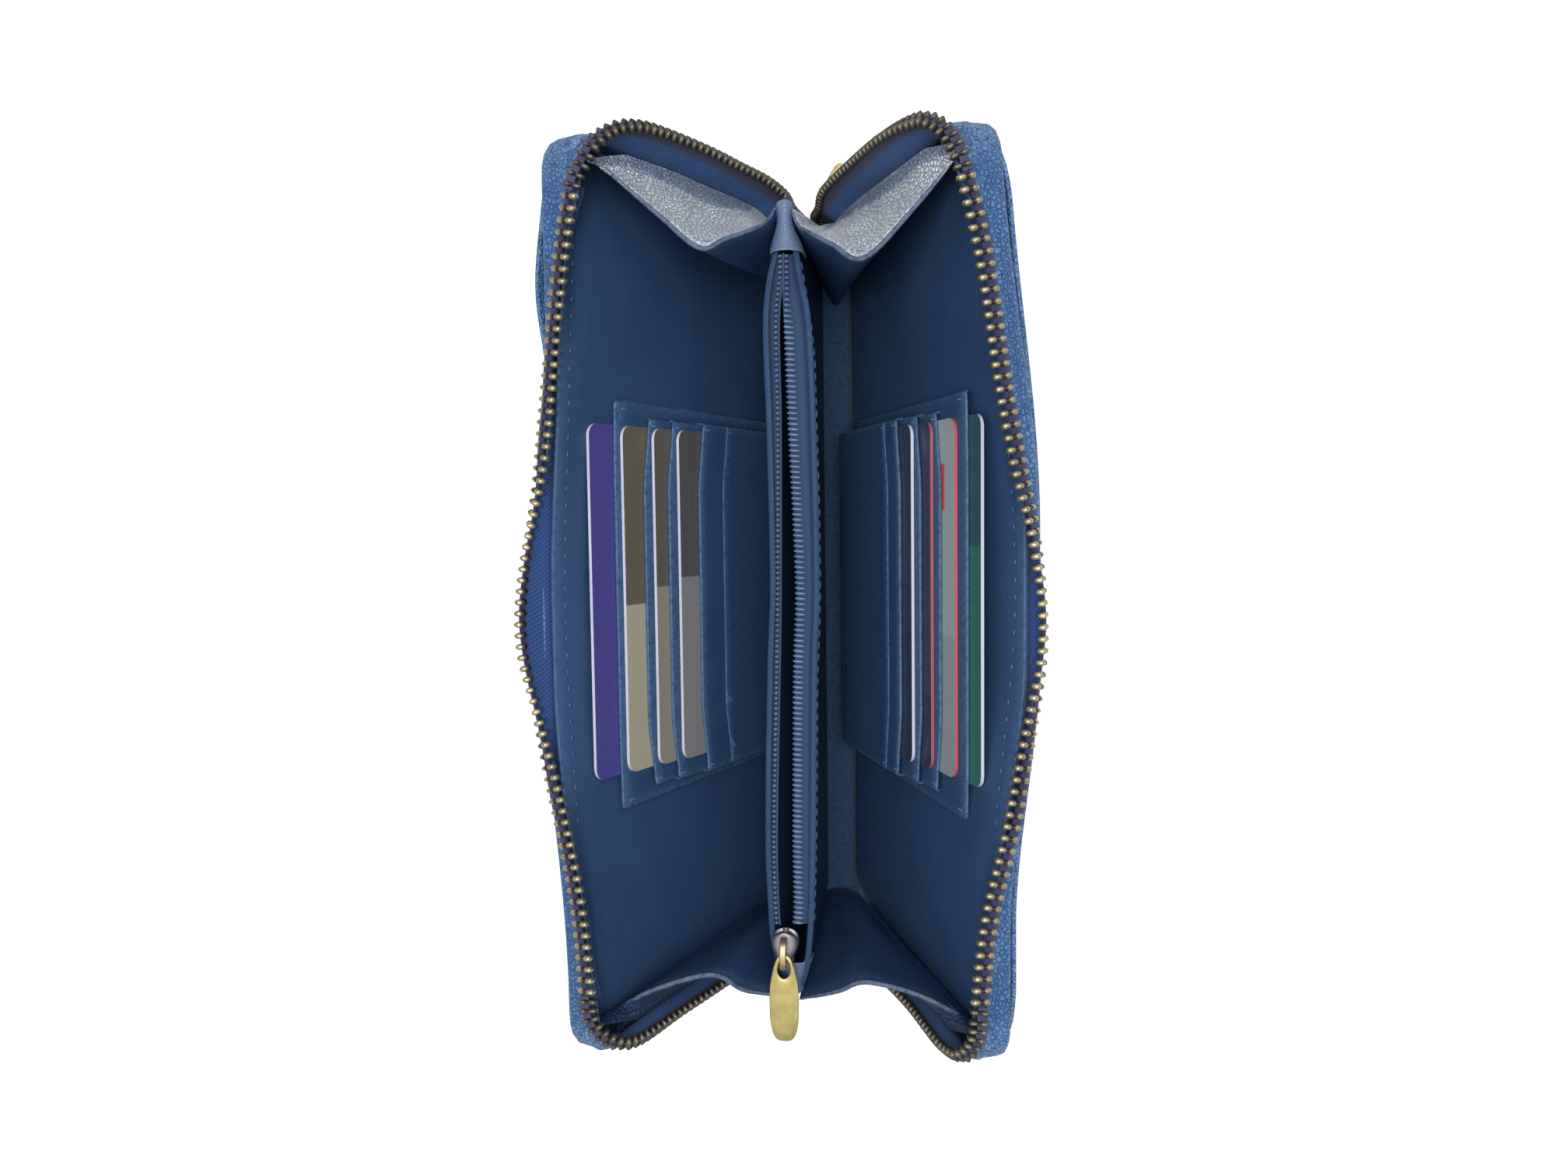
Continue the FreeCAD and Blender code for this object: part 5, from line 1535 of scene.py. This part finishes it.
def make_slider(name, slot, placement, size, bail_material):
    """A zip slider: two plates round a post, and the bail that holds its pull."""
    body = f"{name}_zip_slider"
    width, length, height = size
    upper = slider_plate(f"{name}_upper", width, length, height, 1)
    lower = slider_plate(f"{name}_lower", width, length, height, -1)
    bpy.ops.object.select_all(action="DESELECT")
    bpy.ops.mesh.primitive_cube_add(size=1.0)
    post = named(f"{name}_post")
    post.data.transform(Matrix.Translation((0, length * 0.3, 0)) @ Matrix.Diagonal(
        (width * 0.22, length * 0.24, height * 0.96, 1)))
    soften(post, 0.3 * MM)
    piece = join(f"{name}_slider_plates", (upper, lower, post))
    piece.data.transform(placement)
    wear(piece, SILVER)
    shade(piece, 50)
    settle(piece, body, slot, body)

    # The bail's arch over the upper plate: shares of its length, and millimetres up from it.
    arch = ((0.36, 0.0), (0.35, 1.3), (0.24, 2.7), (0.0, 3.2), (-0.26, 3.1), (-0.4, 2.2), (-0.43, 0.0))
    path = smooth_row([Vector((0, y * length, height / 2 + z * MM)) for y, z in arch], 0.35 * MM)

    def place(a, b):
        return at_share(path, a) + Vector(((b - 0.5) * width * 0.24, 0, 0))

    bail = add_sheet(f"{name}_slider_bail", 40, 4, place, (16 * MM, 1.6 * MM))
    aim(bail, Vector((0, 0, 1)))
    thicken(bail, 0.8 * MM)
    soften(bail, 0.25 * MM, segments=3)
    bail.data.transform(placement)
    wear(bail, bail_material)
    shade(bail, 50)
    settle(bail, body, slot)


def make_pull(name, placement, length, width, wall, top):
    """A flat pull tab that hangs from its eye along Y, broader and round at its free end.

    Its top is how far it stands past its pivot, which is its own origin."""
    squareness = 0.62
    eye_half_width, eye_half_length, eye_drop = 1.75 * MM, 2.5 * MM, 3.3 * MM

    def place(a, b):
        """Round the tab, from its oval eye out to its edge."""
        turn = 2 * math.pi * a
        s, c = math.sin(turn), math.cos(turn)
        hole = Vector((eye_half_width * s, top - eye_drop + eye_half_length * c, 0))
        y = top + length / 2 * (math.copysign(abs(c) ** squareness, c) - 1)
        half = width * (0.34 + 0.16 * eased((top - y) / (0.5 * length)))
        edge = Vector((half * math.copysign(abs(s) ** squareness, s), y, 0))
        return hole.lerp(edge, b ** 1.3) + Vector((0, 0, 0.12 * MM * math.sin(math.pi * b)))

    piece = add_sheet(f"{name}_pull_tab", 56, 7, place, (length, width))
    select_where(piece, "VERT", lambda vertex: True)
    edit(piece, bpy.ops.mesh.remove_doubles, threshold=0.01 * MM)
    aim(piece, Vector((0, 0, 1)))
    thicken(piece, wall)
    soften(piece, 0.28 * MM, segments=3)
    piece.data.transform(placement)
    wear(piece, PULL_BRASS)
    shade(piece, 45)
    settle(piece, f"{name}_zip_pull", "pull_brass", f"{name}_zip_pull")


def make_coin_slider():
    """The coin zip's slider and pull, a little left of the middle as the pulled-open mouth leaves them."""
    aside = Matrix.Translation((-2.0 * MM, 0, 0))
    low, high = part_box("coin_zip_slider")
    centre = (low + high) / 2
    centre.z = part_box("coin_zip_right_tape")[1].z + 0.8 * MM
    make_slider("coin", "slider_silver", aside @ Matrix.Translation(centre),
                (high.x - low.x, high.y - low.y, 4.0 * MM), BAIL_BRASS)
    low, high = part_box("coin_zip_pull")
    eye = Vector(JOINTS["coin_pull_flip"]["pos_m"])
    eye.z = (low.z + high.z) / 2
    make_pull("coin", aside @ Matrix.Translation(eye), high.y - low.y - 0.2 * MM, high.x - low.x,
              high.z - low.z, top=1.8 * MM)


def make_main_slider():
    """The main zip's slider, standing behind the spine, and its pull, which hangs out to one side.

    The pull is lifted off the slider by 6 degrees and swung aside by 24."""
    low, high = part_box("main_zip_slider")
    middle = Vector(((low.x + high.x) / 2, low.y + 2.9 * MM, (low.z + high.z) / 2))
    stand = Matrix(((-1, 0, 0), (0, 0, 1), (0, 1, 0))).to_4x4()
    make_slider("main", "pull_brass", Matrix.Translation(middle) @ stand,
                (high.x - low.x, high.z - low.z, 4.6 * MM), SILVER)
    pivot = Matrix.Translation(JOINTS["main_pull_flip"]["pos_m"])
    droop = Matrix.Rotation(math.radians(180), 4, "Z") @ Matrix.Rotation(math.radians(-6), 4, "X")
    swing = Matrix.Rotation(math.radians(-24), 4, "Z")
    length, width, wall = 22.2 * MM, 6.4 * MM, 1.0 * MM
    make_pull("main", pivot @ swing @ droop, length, width, wall, top=-0.1 * MM)


# ---------------------------------------------------------------- room, light and camera

# The soft lamps: the name, the place, the size and the power of each.  They all look at AIM.
LAMPS = (
    ("key_softbox", (0.3, 0.4, 0.9), 0.7, 3.0),
    ("fill_softbox", (-0.5, -0.4, 0.9), 0.9, 1.5),
    ("top_softbox", (0.02, 0.02, 0.75), 0.3, 5.0),
)
AIM = Vector((0, 0, 0.06))

# The camera, which looks down on the open wallet: place in metres, turn in degrees, lens in millimetres.
CAMERA_PLACE = (0.0324, 0.01866, 0.3442)
CAMERA_TURN = (-3.78, 7.35, -0.72)
CAMERA_LENS = 24.7


def make_floor():
    """The pale floor that the wallet lies on."""
    bpy.ops.object.select_all(action="DESELECT")
    bpy.ops.mesh.primitive_plane_add(size=8, location=(0, 0, 0))
    floor = named("floor")
    material, tree, shader, place = new_material("pale_floor")
    fine = put(tree, "TexNoise", Vector=place.outputs["Object"], Scale=300.0, Detail=3.0)
    tone = blend_colour(tree, fine.outputs["Fac"], colour("#f6f6f6"), colour("#f2f2f3"))
    tree.links.new(tone, shader.inputs["Base Color"])
    shader.inputs["Roughness"].default_value = 0.9
    wear(floor, material)


def make_world():
    """A room that looks white, and lights the wallet half as strongly."""
    world = bpy.data.worlds.new("soft_room")
    bpy.context.scene.world = world
    world.use_nodes = True
    tree = world.node_tree
    tree.nodes.clear()
    output = tree.nodes.new("ShaderNodeOutputWorld")
    backdrop = put(tree, "Background", Color=(1, 1, 1, 1), Strength=1.0)
    glow = put(tree, "Background", Color=(1.0, 1.0, 1.0, 1), Strength=0.5)
    path = put(tree, "LightPath")
    mix = tree.nodes.new("ShaderNodeMixShader")
    tree.links.new(path.outputs["Is Camera Ray"], mix.inputs[0])
    tree.links.new(glow.outputs[0], mix.inputs[1])
    tree.links.new(backdrop.outputs[0], mix.inputs[2])
    tree.links.new(mix.outputs[0], output.inputs[0])


def make_lamps():
    """Three soft square lamps over the wallet."""
    for name, place, size, power in LAMPS:
        lamp = bpy.data.lights.new(name, "AREA")
        lamp.size = size
        lamp.energy = power
        holder = bpy.data.objects.new(name, lamp)
        bpy.context.scene.collection.objects.link(holder)
        holder.location = place
        holder.rotation_euler = (AIM - Vector(place)).to_track_quat("-Z", "Y").to_euler()


def make_camera():
    """The camera over the wallet, and the plain view of its colours."""
    camera = bpy.data.cameras.new("camera")
    camera.sensor_width = 36.0
    camera.lens = CAMERA_LENS
    holder = bpy.data.objects.new("camera", camera)
    bpy.context.scene.collection.objects.link(holder)
    holder.location = CAMERA_PLACE
    holder.rotation_euler = Euler([math.radians(angle) for angle in CAMERA_TURN])
    bpy.context.scene.camera = holder
    bpy.context.scene.view_settings.view_transform = "Standard"


# ---------------------------------------------------------------- the wallet

make_camera()
make_floor()
make_world()
make_lamps()
make_spine()
for cover_name, cover_side in SIDES:
    make_outer_leather(cover_name, cover_side)
    make_slip_pocket(cover_name, cover_side)
    make_board(cover_name, cover_side)
    make_lining(cover_name, cover_side)
    make_bill_pocket(cover_name, cover_side)
    make_slots(cover_name, cover_side)
    front_row, long_row, rear_row = split_row(cover_side)
    make_long_zip(cover_name, cover_side, long_row)
    ends = zip(ENDS, (front_row, rear_row), (long_row[0], long_row[-1]))
    for (zip_end_name, zip_end), end_row, last in ends:
        surface = end_surface(cover_side, zip_end, end_row)
        make_end_tape(cover_name, cover_side, zip_end_name, zip_end, end_row, surface)
        make_end_chain(cover_name, cover_side, zip_end_name, zip_end, end_row, last)
        make_gusset(cover_name, cover_side, zip_end_name, zip_end, surface)
    make_pocket_wall(cover_name, cover_side)
    make_coin_zip(cover_name, cover_side)
for cap_end_name, cap_end in ENDS:
    make_pocket_cap(cap_end_name, cap_end)
dress_cards()
wear(frame["nodes"]["coin_pocket_foot"], LINING)
make_coin_slider()
make_main_slider()
